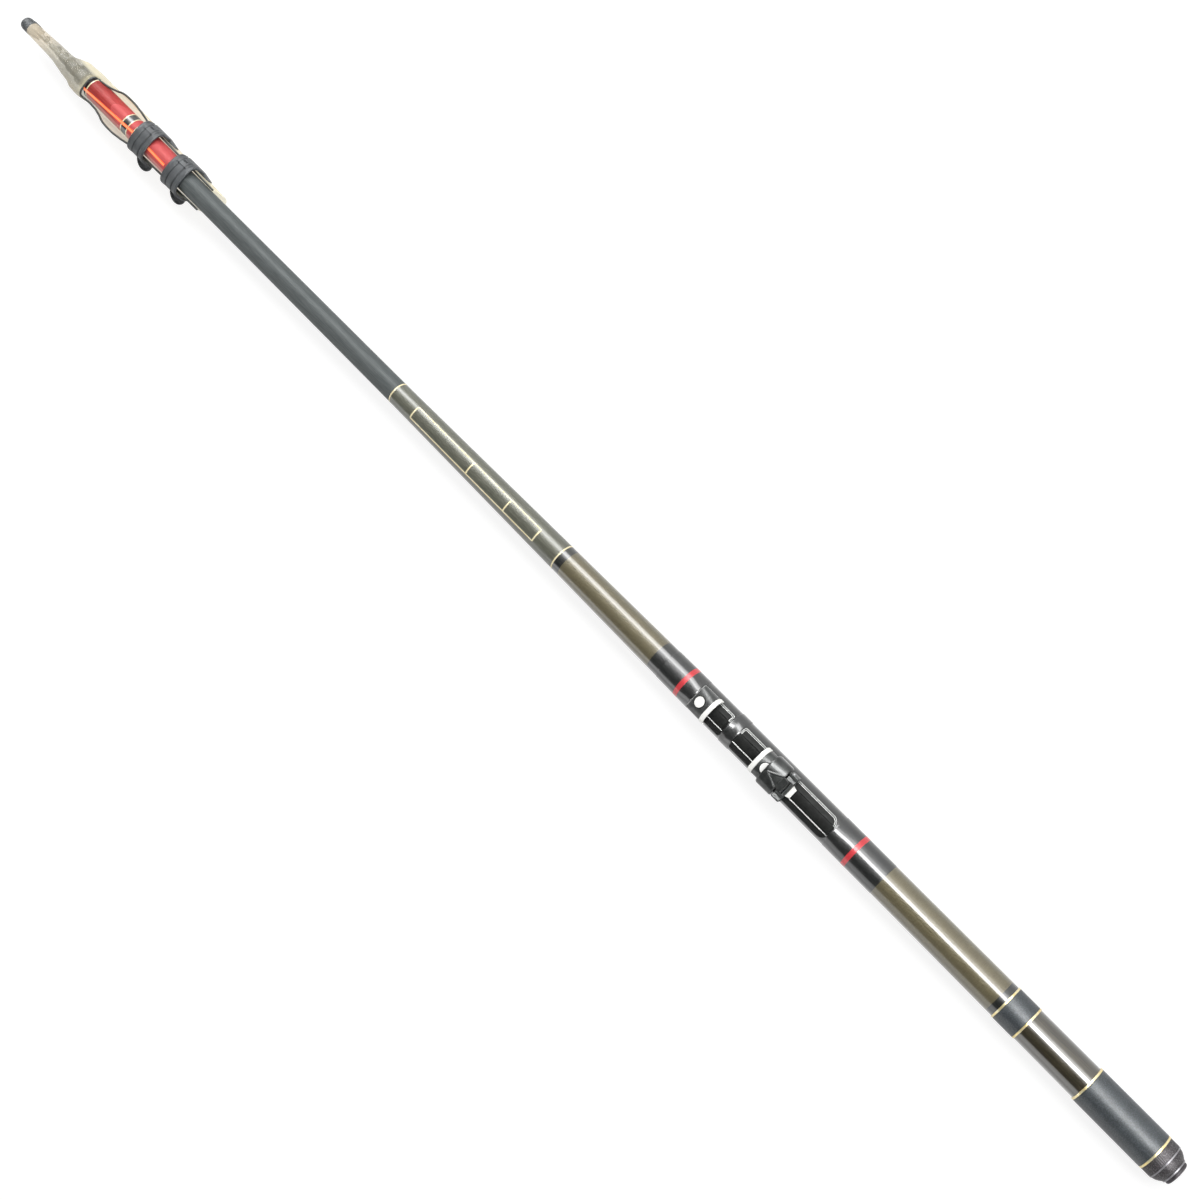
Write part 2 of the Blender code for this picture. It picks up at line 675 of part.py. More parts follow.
slide_sections = []
for share in (0.0, 0.08, 0.3, 0.6, 1.0):
    x = slide_from + (slide_to - slide_from) * share
    crown = slide_crown(x) - (0.5 * MM if share == 0.0 else 0.0)
    slide_sections.append(hood_band(x, HOOD_HALF_WIDTH, crown, crown - HOOD_WALL))
slide_hood = lofted("slide_hood", slide_sections, seat_black)
slide_hood_rim = rim("slide_hood_rim", slide_rim_from, slide_rim_to)
slide_hood_inlay = inlay("slide_hood_inlay", slide_to - SLIDE_INLAY_OFFSET, slide_crown)

lever_from = slide_from - 0.7 * MM
lever_to = lever_from + LEVER_LENGTH
pivot_x = lever_from - LEVER_PIVOT_REACH
pivot_z = plate_top + PIVOT_RISE
lever_inner_half = HOOD_HALF_WIDTH + GAP
lock_lever_axis = empty_at("lock_lever_axis", (pivot_x, 0.0, pivot_z), slide_hood_axis)
lever_sections = []
for share in (0.0, 0.1, 0.5, 0.9, 1.0):
    x = lever_from + (lever_to - lever_from) * share
    tuck = 0.4 * MM if share in (0.0, 1.0) else 0.0
    inner_top = slide_crown(x) + LEVER_LIFT
    outside = arch(
        LEVER_HALF_WIDTH - tuck, hood_low + 0.6 * MM, hood_spring, inner_top + LEVER_WALL - tuck
    )
    inside = arch(lever_inner_half, hood_low + 0.6 * MM, hood_spring, inner_top)
    lever_sections.append(arch_band(x, outside, inside))
lock_lever = lofted("lock_lever", lever_sections, seat_black)
tongue_half = LEVER_TONGUE / 2.0
tongue_low = slide_crown(slide_from + 1.2 * MM) + 0.45 * MM
tongue_high = tongue_low + 1.5 * MM
tongue_front = lever_from + 1.0 * MM
knuckle = [
    (
        pivot_x + LEVER_KNUCKLE * math.cos(math.radians(angle)),
        -tongue_half,
        pivot_z + LEVER_KNUCKLE * math.sin(math.radians(angle)),
    )
    for angle in range(80, 330, 25)
]
tongue_outline = knuckle + [
    (tongue_front, -tongue_half, tongue_low),
    (tongue_front, -tongue_half, tongue_high),
]
lever_tongue = extruded(
    "lever_tongue", tongue_outline, (0.0, LEVER_TONGUE, 0.0), seat_black
)
boolean(lock_lever, lever_tongue, "UNION")
pin_hole = cylinder_along_y(
    "pin_hole", pivot_x, pivot_z, PIN_RADIUS + GAP, CHEEK_HALF_WIDTH + 1.0 * MM, 16, seat_black
)
boolean(lock_lever, pin_hole, "DIFFERENCE")
lever_pin = cylinder_along_y(
    "lever_pin", pivot_x, pivot_z, PIN_RADIUS, CHEEK_HALF_WIDTH, 16, silver
)
cheek_floor = plate_top + GAP
cheek_inside = tongue_half + GAP
cheek_front = pivot_x + CHEEK_FRONT
bar_front = pivot_x - LEVER_KNUCKLE - GAP
bar_rear = bar_front - CHEEK_BAR
cheek_plan = [
    (bar_rear, -CHEEK_HALF_WIDTH + 1.5 * MM),
    (bar_rear + 1.5 * MM, -CHEEK_HALF_WIDTH),
    (cheek_front, -CHEEK_HALF_WIDTH),
    (cheek_front, -cheek_inside),
    (bar_front, -cheek_inside),
    (bar_front, cheek_inside),
    (cheek_front, cheek_inside),
    (cheek_front, CHEEK_HALF_WIDTH),
    (bar_rear + 1.5 * MM, CHEEK_HALF_WIDTH),
    (bar_rear, CHEEK_HALF_WIDTH - 1.5 * MM),
]
lever_cheeks = extruded(
    "lever_cheeks",
    [(x, y, cheek_floor) for x, y in cheek_plan],
    (0.0, 0.0, CHEEK_HEIGHT),
    seat_black,
)
boolean(lever_cheeks, pin_hole, "DIFFERENCE")
tab_front = bar_rear - GAP
lock_tab = extruded(
    "lock_tab",
    [
        (tab_front, -TAB_WIDTH / 2.0, cheek_floor),
        (tab_front, TAB_WIDTH / 2.0, cheek_floor),
        (tab_front - TAB_LENGTH, TAB_WIDTH * 0.36, cheek_floor),
        (tab_front - TAB_LENGTH, -TAB_WIDTH * 0.36, cheek_floor),
    ],
    (0.0, 0.0, TAB_THICKNESS),
    silver,
)
attach(slide_hood_axis, slide_hood, slide_hood_rim, slide_hood_inlay, lever_cheeks, lever_pin)
attach(slide_hood_axis, lock_tab)
attach(lock_lever_axis, lock_lever)

# Inner sections, each sliding in the one outside it.
sections_from = bumper_to + GAP


def section_tube(name, front, rear_radius, front_radius, wall, sides, material):
    profile = [
        (sections_from, rear_radius),
        (front, front_radius),
        (front, front_radius - wall),
        (sections_from, rear_radius - wall),
    ]
    return turned(name, profile, sides, material)


def guide(name, plane, foot_from, foot_to, bore, drop, radius, sides, material):
    """A guide: a foot tube round the section, a plate that hangs from it and a round ring holder."""
    foot_outside = bore + GUIDE_FOOT_WALL
    half = GUIDE_PLATE / 2.0
    body = sleeve(name, foot_from, foot_to, bore, foot_outside, sides, material)
    neck = min(foot_outside, radius) * 0.8
    waist = neck * 0.7
    bottom = drop - radius * 0.55
    outline = [
        (plane - half, -neck, -bore - GUIDE_FOOT_WALL * 0.4),
        (plane - half, neck, -bore - GUIDE_FOOT_WALL * 0.4),
        (plane - half, waist, -bottom),
        (plane - half, -waist, -bottom),
    ]
    web = extruded(name + "_web", outline, (GUIDE_PLATE, 0.0, 0.0), material)
    holder = sleeve(
        name + "_holder", plane - half * 1.2, plane + half * 1.2, radius - HOLDER_WALL, radius,
        sides, material, 0.0, (0.0, -drop),
    )
    opening = turned(
        name + "_opening",
        [
            (plane - 3.0 * GUIDE_PLATE, 0.0),
            (plane - 3.0 * GUIDE_PLATE, radius - HOLDER_WALL),
            (plane + 3.0 * GUIDE_PLATE, radius - HOLDER_WALL),
            (plane + 3.0 * GUIDE_PLATE, 0.0),
        ],
        sides,
        material,
        (0.0, -drop),
    )
    bore_cut = turned(
        name + "_bore",
        [
            (foot_from - 1.0 * MM, 0.0),
            (foot_from - 1.0 * MM, bore),
            (foot_to + 1.0 * MM, bore),
            (foot_to + 1.0 * MM, 0.0),
        ],
        sides,
        material,
    )
    boolean(body, web, "UNION")
    boolean(body, holder, "UNION")
    boolean(body, opening, "DIFFERENCE")
    boolean(body, bore_cut, "DIFFERENCE")
    return body


def ring(name, plane, drop, radius, sides, material):
    outside = radius - HOLDER_WALL - GAP
    inside = outside - RING_WALL * min(1.0, radius / FOUR_GUIDE_RADIUS + 0.25)
    half = GUIDE_PLATE * 0.55
    profile = [
        (plane - half, (inside + outside) / 2.0),
        (plane - half * 0.5, inside),
        (plane + half * 0.5, inside),
        (plane + half, (inside + outside) / 2.0),
        (plane + half * 0.6, outside),
        (plane - half * 0.6, outside),
    ]
    return turned(name, profile, sides, material, (0.0, -drop))


four_front = butt_mouth + FOUR_STANDS_OUT
three_front = four_front + THREE_STANDS_OUT
two_front = three_front + TWO_STANDS_OUT
tip_front = two_front + TIP_STANDS_OUT
four_rear_radius = BUTT_MOUTH_RADIUS - BUTT_MOUTH_WALL - SLIDE_GAP
three_rear_radius = FOUR_FRONT_RADIUS - FOUR_WALL - SLIDE_GAP
two_rear_radius = THREE_FRONT_RADIUS - THREE_WALL - SLIDE_GAP
tip_rear_radius = TWO_FRONT_RADIUS - TWO_WALL - SLIDE_GAP


def add_section(label, parent, front, rear_radius, front_radius, wall, sides, drop, radius):
    """A tube with its binding, guide and guide ring, under an empty at the mouth that it slides in."""
    axis = empty_at(label + "_axis", (front, 0.0, 0.0), parent)
    tube = section_tube(label + "_tube", front, rear_radius, front_radius, wall, sides, carbon_matt)
    slope = (rear_radius - front_radius) / (front - sections_from)
    foot_to = front - GAP
    foot_from = foot_to - 2.0 * GUIDE_BACK
    foot_bore = front_radius + slope * (front - foot_from) + GAP
    plane = foot_to - GUIDE_BACK / 2.0
    body = guide(
        label + "_guide", plane, foot_from, foot_to, foot_bore, drop, radius, sides, guide_frame
    )
    insert = ring(label + "_ring", plane, drop, radius, sides, guide_ring)
    wrap_to = foot_from - GAP
    wrap_from = wrap_to - WRAP_LENGTH
    wrap_bore = front_radius + slope * (front - wrap_from) + GAP
    wrap = sleeve(
        label + "_binding", wrap_from, wrap_to, wrap_bore, wrap_bore + WRAP_WALL, sides,
        thread_black,
    )
    attach(axis, tube, wrap, body, insert)
    return axis


four_axis = add_section(
    "section_4", rod_rest, four_front, four_rear_radius, FOUR_FRONT_RADIUS, FOUR_WALL,
    FOUR_SIDES, FOUR_GUIDE_DROP, FOUR_GUIDE_RADIUS,
)
three_axis = add_section(
    "section_3", four_axis, three_front, three_rear_radius, THREE_FRONT_RADIUS, THREE_WALL,
    THREE_SIDES, THREE_GUIDE_DROP, THREE_GUIDE_RADIUS,
)
two_axis = add_section(
    "section_2", three_axis, two_front, two_rear_radius, TWO_FRONT_RADIUS, TWO_WALL,
    TWO_SIDES, TWO_GUIDE_DROP, TWO_GUIDE_RADIUS,
)
tip_axis = empty_at("tip_axis", (tip_front, 0.0, 0.0), two_axis)
tip_section = turned(
    "tip_section",
    [
        (sections_from, 0.0),
        (sections_from, tip_rear_radius),
        (tip_front, TIP_FRONT_RADIUS),
        (tip_front, 0.0),
    ],
    TIP_SIDES,
    carbon_matt,
)
tip_foot_to = tip_front
tip_foot_from = tip_front - TIP_GUIDE_FOOT
tip_plane = tip_front - GUIDE_PLATE
tip_guide = guide(
    "tip_guide", tip_plane, tip_foot_from, tip_foot_to, TIP_FRONT_RADIUS + GAP,
    TIP_GUIDE_DROP, TIP_GUIDE_RADIUS, TIP_SIDES, guide_frame,
)
tip_guide_ring = ring(
    "tip_guide_ring", tip_plane, TIP_GUIDE_DROP, TIP_GUIDE_RADIUS, TIP_SIDES, guide_ring
)
attach(tip_axis, tip_section, tip_guide, tip_guide_ring)


def add_float(label, plane, bore, drop, radius):
    axis = empty_at(label + "_axis", (plane, 0.0, 0.0), tip_axis)
    half = FLOAT_FOOT / 2.0
    body = guide(
        label, plane, plane - half, plane + half, bore, drop, radius, TIP_SIDES, guide_frame
    )
    attach(axis, body, ring(label + "_ring", plane, drop, radius, TIP_SIDES, guide_ring))


rear_float_plane = two_front + FLOAT_FOOT
add_float(
    "float_guide_rear", rear_float_plane, REAR_FLOAT_BORE, REAR_FLOAT_DROP, REAR_FLOAT_RADIUS
)
add_float(
    "float_guide_front", rear_float_plane + FLOAT_PITCH, FRONT_FLOAT_BORE, FRONT_FLOAT_DROP,
    FRONT_FLOAT_RADIUS,
)

# Tip cover: a film tube that opens into a trough, its mouth just ahead of the butt's.
mouth_x = butt_mouth + GAP + 2.0 * PIPING_RADIUS + GAP
tube_rear = mouth_x
cone_rear = tube_rear + COVER_TUBE
cone_front = cone_rear + COVER_CONE
nose_front = cone_front + COVER_NOSE
belly_front = butt_mouth - COVER_WAIST
belly_rear = belly_front - COVER_BELLY
strap_zone_front = belly_rear - COVER_TAPER
cover_rear = strap_zone_front - COVER_STRAP_ZONE
cover_axis = empty_at("cover_axis", (nose_front, 0.0, 0.0), tip_axis)


def cover_row(x, edge_half, edge_z, belly_half, depth, top):
    return {"x": x, "edge": edge_half, "z": edge_z, "belly": belly_half, "depth": depth, "top": top}


tube_edge = COVER_TUBE_HALF + 0.4 * MM
cover_rows = [
    cover_row(nose_front, COVER_NOSE_HALF, 0.0, COVER_NOSE_HALF, COVER_NOSE_DEPTH, COVER_NOSE_HALF),
    cover_row(
        (nose_front + cone_front) / 2.0,
        (COVER_NOSE_HALF + COVER_NECK_HALF) / 2.0,
        0.0,
        (COVER_NOSE_HALF + COVER_NECK_HALF) / 2.0,
        (COVER_NOSE_DEPTH + COVER_NECK_DEPTH) / 2.0,
        COVER_NOSE_HALF,
    ),
    cover_row(
        cone_front, COVER_NECK_HALF, 0.0, COVER_NECK_HALF, COVER_NECK_DEPTH, COVER_NECK_HALF
    ),
    cover_row(
        (cone_front + cone_rear) / 2.0,
        (COVER_NECK_HALF + COVER_TUBE_HALF) / 2.0,
        0.0,
        (COVER_NECK_HALF + COVER_TUBE_HALF) / 2.0,
        (COVER_NECK_DEPTH + COVER_TUBE_DEPTH) / 2.0,
        (COVER_NECK_HALF + COVER_TUBE_HALF) / 2.0,
    ),
    cover_row(cone_rear, COVER_TUBE_HALF, 0.0, COVER_TUBE_HALF, COVER_TUBE_DEPTH, COVER_TUBE_HALF),
]
for share, widen in ((0.25, 0.15), (0.5, 0.62), (0.75, 0.9), (1.0, 1.0)):
    cover_rows.append(
        cover_row(
            cone_rear + (tube_rear - cone_rear) * share,
            COVER_TUBE_HALF + (COVER_MOUTH_HALF - COVER_TUBE_HALF) * share**2,
            COVER_EDGE_RISE * share,
            COVER_TUBE_HALF + (COVER_BELLY_HALF - COVER_TUBE_HALF) * widen,
            COVER_TUBE_DEPTH + (COVER_DEPTH - COVER_TUBE_DEPTH) * min(1.0, share * 1.3),
            COVER_TUBE_HALF,
        )
    )
mouth_row = len(cover_rows) - 1
for share, out, sink in ((0.0, 0.1, 0.0), (0.6, 0.2, 0.1), (0.8, 0.55, 0.4), (1.0, 0.85, 0.8)):
    span = butt_mouth - 2.0 * PIPING_RADIUS - belly_front
    cover_rows.append(
        cover_row(
            butt_mouth - 2.0 * PIPING_RADIUS - span * share,
            COVER_MOUTH_HALF + (COVER_BELLY_HALF - COVER_MOUTH_HALF) * out,
            COVER_EDGE_RISE * (1.0 - sink),
            COVER_BELLY_HALF,
            COVER_DEPTH,
            None,
        )
    )
for share in (0.5, 1.0):
    cover_rows.append(
        cover_row(
            belly_front + (belly_rear - belly_front) * share,
            COVER_BELLY_HALF - 0.2 * MM * (1.0 - share),
            0.0,
            COVER_BELLY_HALF,
            COVER_DEPTH,
            None,
        )
    )
for share in (0.35, 0.7, 1.0):
    ease = share * share * (3.0 - 2.0 * share)
    half = COVER_BELLY_HALF + (COVER_STRAP_HALF - COVER_BELLY_HALF) * ease
    cover_rows.append(
        cover_row(
            belly_rear + (strap_zone_front - belly_rear) * share, half, 0.0, half, COVER_DEPTH, None
        )
    )
cover_rows.append(
    cover_row(cover_rear, COVER_STRAP_HALF, 0.0, COVER_STRAP_HALF, COVER_DEPTH, None)
)

LOWER_STEPS = 12
UPPER_STEPS = 8


def cover_outline(row):
    """Points (y, z) once round a cover section, from its +Y edge down, under and up, then over the top."""
    edge, high, belly = row["edge"], row["z"], row["belly"]
    low = -row["depth"]
    corner = min(COVER_CORNER, belly * 0.7)
    side = [
        (edge, high),
        (edge + (belly - edge) * 0.75, high - 2.2 * MM),
        (belly, high - 5.0 * MM),
        (belly, low + corner),
        (belly - corner * 0.29, low + corner * 0.29),
        (belly - corner, low),
        (0.0, low),
    ]
    lower = side + [(-y, z) for y, z in reversed(side[:-1])]
    top = row["top"] if row["top"] is not None else high + edge
    upper = []
    for i in range(1, UPPER_STEPS):
        angle = math.pi * (1.0 - i / UPPER_STEPS)
        upper.append((edge * math.cos(angle), high + (top - high) * math.sin(angle)))
    return lower + upper


def inset_outline(points, distance):
    """The same loop moved inwards, each point along the bisector of its two sides."""
    count = len(points)
    inset = []
    for i, (y, z) in enumerate(points):
        before = Vector(points[i]) - Vector(points[i - 1])
        after = Vector(points[(i + 1) % count]) - Vector(points[i])
        first = Vector((before.y, -before.x)).normalized()
        second = Vector((after.y, -after.x)).normalized()
        bisector = (first + second).normalized()
        reach = distance / max(0.6, bisector.dot(first))
        inset.append((y + bisector.x * reach, z + bisector.y * reach))
    return inset


def cover_shell_mesh():
    """Film walls as cells between an outer and an inner grid; the top cells end at the mouth."""
    bm = bmesh.new()
    outside, inside = [], []
    for row in cover_rows:
        outline = cover_outline(row)
        inner = inset_outline(outline, COVER_FILM)
        if row["top"] is None:
            inner[0] = (outline[0][0] - COVER_FILM, outline[0][1])
            inner[LOWER_STEPS] = (outline[LOWER_STEPS][0] + COVER_FILM, outline[LOWER_STEPS][1])
        outside.append([bm.verts.new((row["x"], y, z)) for y, z in outline])
        inside.append([bm.verts.new((row["x"], y, z)) for y, z in inner])
    count = len(outside[0])
    last = len(cover_rows) - 1
    for i in range(last):
        for j in range(count):
            k = (j + 1) % count
            if i >= mouth_row and j >= LOWER_STEPS:
                continue
            bm.faces.new((outside[i][j], outside[i][k], outside[i + 1][k], outside[i + 1][j]))
            bm.faces.new((inside[i][j], inside[i][k], inside[i + 1][k], inside[i + 1][j]))
    for j in range(count):
        k = (j + 1) % count
        bm.faces.new((outside[0][j], outside[0][k], inside[0][k], inside[0][j]))
        end = last if j < LOWER_STEPS else mouth_row
        bm.faces.new((outside[end][j], outside[end][k], inside[end][k], inside[end][j]))
    for i in range(mouth_row, last):
        for j in (0, LOWER_STEPS):
            bm.faces.new((outside[i][j], outside[i + 1][j], inside[i + 1][j], inside[i][j]))
    loose = [vert for vert in bm.verts if not vert.link_faces]
    bmesh.ops.delete(bm, geom=loose, context="VERTS")
    return bm


cover_shell = finish_mesh("cover_shell", cover_shell_mesh(), film)

cap_outline = cover_outline(cover_rows[0])
cap_inside = inset_outline(cap_outline, COVER_FILM + GAP)
cap_from = nose_front + GAP
end_cap_sections = [
    [(cap_from - END_CAP_SPIGOT, y, z) for y, z in cap_inside],
    [(cap_from, y, z) for y, z in cap_inside],
    [(cap_from, y, z) for y, z in cap_outline],
    [(cap_from + END_CAP_LENGTH * 0.86, y, z) for y, z in cap_outline],
    [
        (cap_from + END_CAP_LENGTH, y * 0.86, z * 0.86)
        for y, z in cap_outline
    ],
]
cover_end_cap = lofted("cover_end_cap", end_cap_sections, rubber_black)

# Piping along the trough's edges and over the tube's mouth, as one unbroken cord.
piping_lift = GAP + PIPING_RADIUS
edge_path = []
for row in reversed(cover_rows[mouth_row + 1 :]):
    edge_path.append(Vector((row["x"], row["edge"] - COVER_FILM / 2.0, row["z"] + piping_lift)))
arch_x = tube_rear - piping_lift
arch_path = []
for i in range(9):
    angle = math.pi * (i + 0.75) / (8 + 1.5)
    arch_path.append(
        Vector(
            (
                arch_x,
                (COVER_MOUTH_HALF - COVER_FILM / 2.0) * math.cos(angle),
                COVER_EDGE_RISE
                + (COVER_TUBE_HALF - COVER_FILM / 2.0 - COVER_EDGE_RISE) * math.sin(angle),
            )
        )
    )
mirrored = [Vector((point.x, -point.y, point.z)) for point in reversed(edge_path)]
route = edge_path + arch_path + mirrored


def smooth_route(points, step):
    """Points at an even step along a Catmull-Rom curve through the given ones."""
    dense = []
    for i in range(len(points) - 1):
        p0 = points[max(i - 1, 0)]
        p1, p2 = points[i], points[i + 1]
        p3 = points[min(i + 2, len(points) - 1)]
        pieces = max(2, math.ceil((p2 - p1).length / step))
        for n in range(pieces):
            t = n / pieces
            a = 2.0 * p1
            b = (p2 - p0) * t
            c = (2.0 * p0 - 5.0 * p1 + 4.0 * p2 - p3) * t * t
            d = (3.0 * p1 - p0 - 3.0 * p2 + p3) * t * t * t
            dense.append((a + b + c + d) * 0.5)
    dense.append(points[-1])
    return dense


piping_curve = bpy.data.curves.new("cover_piping", "CURVE")
piping_curve.dimensions = "3D"
piping_curve.bevel_depth = PIPING_RADIUS
piping_curve.bevel_resolution = 1
piping_curve.use_fill_caps = True
piping_points = smooth_route(route, 7.0 * MM)
spline = piping_curve.splines.new("POLY")
spline.points.add(len(piping_points) - 1)
for point, place in zip(spline.points, piping_points):
    point.co = (*place, 1.0)
piping_curve.materials.append(rubber_black)
cover_piping = bpy.data.objects.new("cover_piping", piping_curve)
bpy.context.collection.objects.link(cover_piping)
attach(cover_axis, cover_shell, cover_end_cap, cover_piping)

# Rubber straps over the rod, each rooted at an anchor pad on the -Y side.
strap_inner_half = COVER_STRAP_HALF + GAP + PIPING_RADIUS - COVER_FILM / 2.0 + GAP
strap_outer_half = strap_inner_half + STRAP_THICKNESS
strap_mid_half = (strap_inner_half + strap_outer_half) / 2.0
strap_inner_top = MOUTH_WRAP_RADIUS + GAP
strap_spring = 1.4 * MM
root_z = -STRAP_LEG / 2.0


def add_strap(label, rear):
    """A strap whose rear edge is at x = rear; its root leg spreads rearwards."""
    front = rear + STRAP_WIDTH
    axis = empty_at(label + "_axis", ((rear + front) / 2.0, -strap_mid_half, root_z), cover_axis)
    outside_top = strap_inner_top + STRAP_THICKNESS
    outer_arch = arch(strap_outer_half, root_z, strap_spring, outside_top, 0.85, 12)
    inner_arch = arch(strap_inner_half, root_z, strap_spring, strap_inner_top, 0.85, 12)
    half = STRAP_THICKNESS / 2.0
    round_root = [
        (
            -strap_mid_half + half * math.cos(math.radians(angle)),
            root_z + half * math.sin(math.radians(angle)),
        )
        for angle in (-135.0, -90.0, -45.0)
    ]
    loop = outer_arch + round_root + inner_arch[::-1]

    def spread(y, z):
        sunk_share = (1.1 * strap_inner_top - z) / (0.6 * strap_inner_top)
        return STRAP_ROOT_SPREAD * min(1.0, max(0.0, sunk_share)) if y < 0.0 else 0.0

    groove = 0.35 * MM
    outer_count = len(outer_arch)
    sections = []
    for share, deep in (
        (0.0, 0.5), (0.04, 0.0), (0.30, 0.0), (0.33, 1.0), (0.36, 0.0),
        (0.64, 0.0), (0.67, 1.0), (0.70, 0.0), (0.96, 0.0), (1.0, 0.5),
    ):
        section = []
        for i, (y, z) in enumerate(loop):
            start = rear - spread(y, z)
            sunk = deep * groove if i < outer_count else 0.0
            if 0 < i < outer_count - 1:
                size = math.hypot(y, z)
                y, z = y - y / size * sunk, z - z / size * sunk
            section.append((start + (front - start) * share, y, z))
        sections.append(section)
    strap = lofted(label, sections, rubber_black)
    middle = (rear + front) / 2.0
    hang = Vector((0.0, math.sin(math.radians(50.0)), -math.cos(math.radians(50.0))))
    face = Vector((0.0, math.cos(math.radians(50.0)), math.sin(math.radians(50.0))))
    base = Vector((middle, strap_outer_half + GAP, root_z + 0.2 * MM))
    chord = math.sqrt(PULL_TAB_RADIUS**2 - (PULL_TAB_RADIUS - PULL_TAB_REACH) ** 2)
    start_angle = math.asin(chord / PULL_TAB_RADIUS)
    outline = []
    for i in range(13):
        angle = -start_angle + 2.0 * start_angle * i / 12
        across = PULL_TAB_RADIUS * math.sin(angle)
        down = PULL_TAB_RADIUS * math.cos(angle) - (PULL_TAB_RADIUS - PULL_TAB_REACH)
        outline.append(base + Vector((across, 0.0, 0.0)) + hang * down)
    tab = extruded(label + "_pull_tab", outline, face * PULL_TAB_THICKNESS, rubber_black)
    attach(axis, strap, tab)
    anchor_front = front
    anchor_rear = front - ANCHOR_LENGTH
    anchor_top = root_z - half - GAP
    anchor_y = -(COVER_STRAP_HALF + GAP)
    anchor = extruded(
        label + "_anchor",
        [
            (anchor_rear, anchor_y, anchor_top - ANCHOR_HEIGHT + 1.5 * MM),
            (anchor_rear + 1.5 * MM, anchor_y, anchor_top - ANCHOR_HEIGHT),
            (anchor_front - 1.5 * MM, anchor_y, anchor_top - ANCHOR_HEIGHT),
            (anchor_front, anchor_y, anchor_top - ANCHOR_HEIGHT + 1.5 * MM),
            (anchor_front, anchor_y, anchor_top),
            (anchor_rear, anchor_y, anchor_top),
        ],
        (0.0, -ANCHOR_THICKNESS, 0.0),
        rubber_black,
    )
    attach(cover_axis, anchor)


add_strap("strap_rear", cover_rear + STRAP_REAR_SETBACK)
add_strap("strap_front", cover_rear + STRAP_REAR_SETBACK + STRAP_PITCH)

# The rod lies on the rear end of its grip and on the rear end of the cover's trough.
lie_angle = math.asin((COVER_DEPTH - REAR_GRIP_RADIUS) / (cover_rear - ring_four_from))
rod_rest.rotation_euler = (0.0, -lie_angle, 0.0)
bpy.context.view_layer.update()
graph = bpy.context.evaluated_depsgraph_get()
corners = []
for obj in bpy.context.scene.objects:
    if obj.type == "EMPTY" or obj.hide_render:
        continue
    evaluated = obj.evaluated_get(graph)
    mesh = evaluated.to_mesh()
    corners += [evaluated.matrix_world @ vertex.co for vertex in mesh.vertices]
    evaluated.to_mesh_clear()
low = Vector([min(corner[i] for corner in corners) for i in range(3)])
high = Vector([max(corner[i] for corner in corners) for i in range(3)])
rod_rest.location = (-(low.x + high.x) / 2.0, -(low.y + high.y) / 2.0, -low.z)
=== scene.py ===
"""Looks of a collapsed telescopic shore rod with its tip cover on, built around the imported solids."""

import json
from math import ceil, copysign, cos, dist, exp, hypot, inf, pi, radians, sin, sqrt, tan, tau

import bmesh
import bpy
from mathutils import Matrix, Vector


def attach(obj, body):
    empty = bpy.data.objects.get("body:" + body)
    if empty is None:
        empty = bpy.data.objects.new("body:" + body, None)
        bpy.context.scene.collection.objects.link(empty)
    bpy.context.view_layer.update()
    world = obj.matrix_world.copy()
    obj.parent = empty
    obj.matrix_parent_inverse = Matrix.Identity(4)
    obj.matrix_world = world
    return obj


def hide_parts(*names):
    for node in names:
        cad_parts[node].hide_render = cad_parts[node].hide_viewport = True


# Pieces are measured in millimetres in the rod's own frame, and add_piece turns them into metres.
MM = 0.001

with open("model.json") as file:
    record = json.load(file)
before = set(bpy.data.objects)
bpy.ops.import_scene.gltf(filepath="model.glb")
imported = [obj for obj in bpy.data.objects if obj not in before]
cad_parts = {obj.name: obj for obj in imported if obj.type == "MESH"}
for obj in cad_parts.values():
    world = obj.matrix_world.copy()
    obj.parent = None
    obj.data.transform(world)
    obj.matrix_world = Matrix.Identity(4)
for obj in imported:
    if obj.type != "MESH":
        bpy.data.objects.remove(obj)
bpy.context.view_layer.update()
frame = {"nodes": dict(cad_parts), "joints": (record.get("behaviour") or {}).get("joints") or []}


def placing(x_axis, y_axis, z_axis, place):
    """The matrix of a frame with these axes at a place."""
    rows = [(x_axis[i], y_axis[i], z_axis[i], place[i]) for i in range(3)]
    return Matrix(rows + [(0.0, 0.0, 0.0, 1.0)])


# The rod's own frame: X along the rod from the end pad, Y across, Z up through the reel seat.
cap_turn = next(joint for joint in frame["joints"] if joint["name"] == "cap_turn")
thread_point = Vector(cap_turn["pos_m"])
along = -Vector(cap_turn["axis"]).normalized()
across = Vector((0.0, 1.0, 0.0))
end_pad = frame["nodes"]["cap_end_pad"]
origin = thread_point + along * min((v.co - thread_point).dot(along) for v in end_pad.data.vertices)
ROD = placing(along, across, along.cross(across), origin)
TO_ROD = ROD.inverted()


class Span:
    """A solid in the rod's frame: its points, its ends along the rod and its extents round it."""

    def __init__(self, node):
        self.points = [[c / MM for c in TO_ROD @ v.co] for v in frame["nodes"][node].data.vertices]
        (self.rear, self.front), (self.left, self.right), (self.low, self.top) = (
            (min(row), max(row)) for row in zip(*self.points)
        )
        self.length = self.front - self.rear
        self.middle = (self.front + self.rear) / 2.0


span = {name: Span(name) for name in frame["nodes"]}
blank, wrap, cap = span["butt_blank"], span["mouth_wrap"], span["tail_cap"]
plate_rear, plate_front = span["seat_plate_rear"], span["seat_plate_front"]

# Outer radii of the butt tube at the stations where its taper changes.
KNEE = 716.9
BUTT_TAPER = [(blank.rear, 12.2), (plate_front.front, 11.6), (KNEE, 8.45), (blank.front, 7.72)]


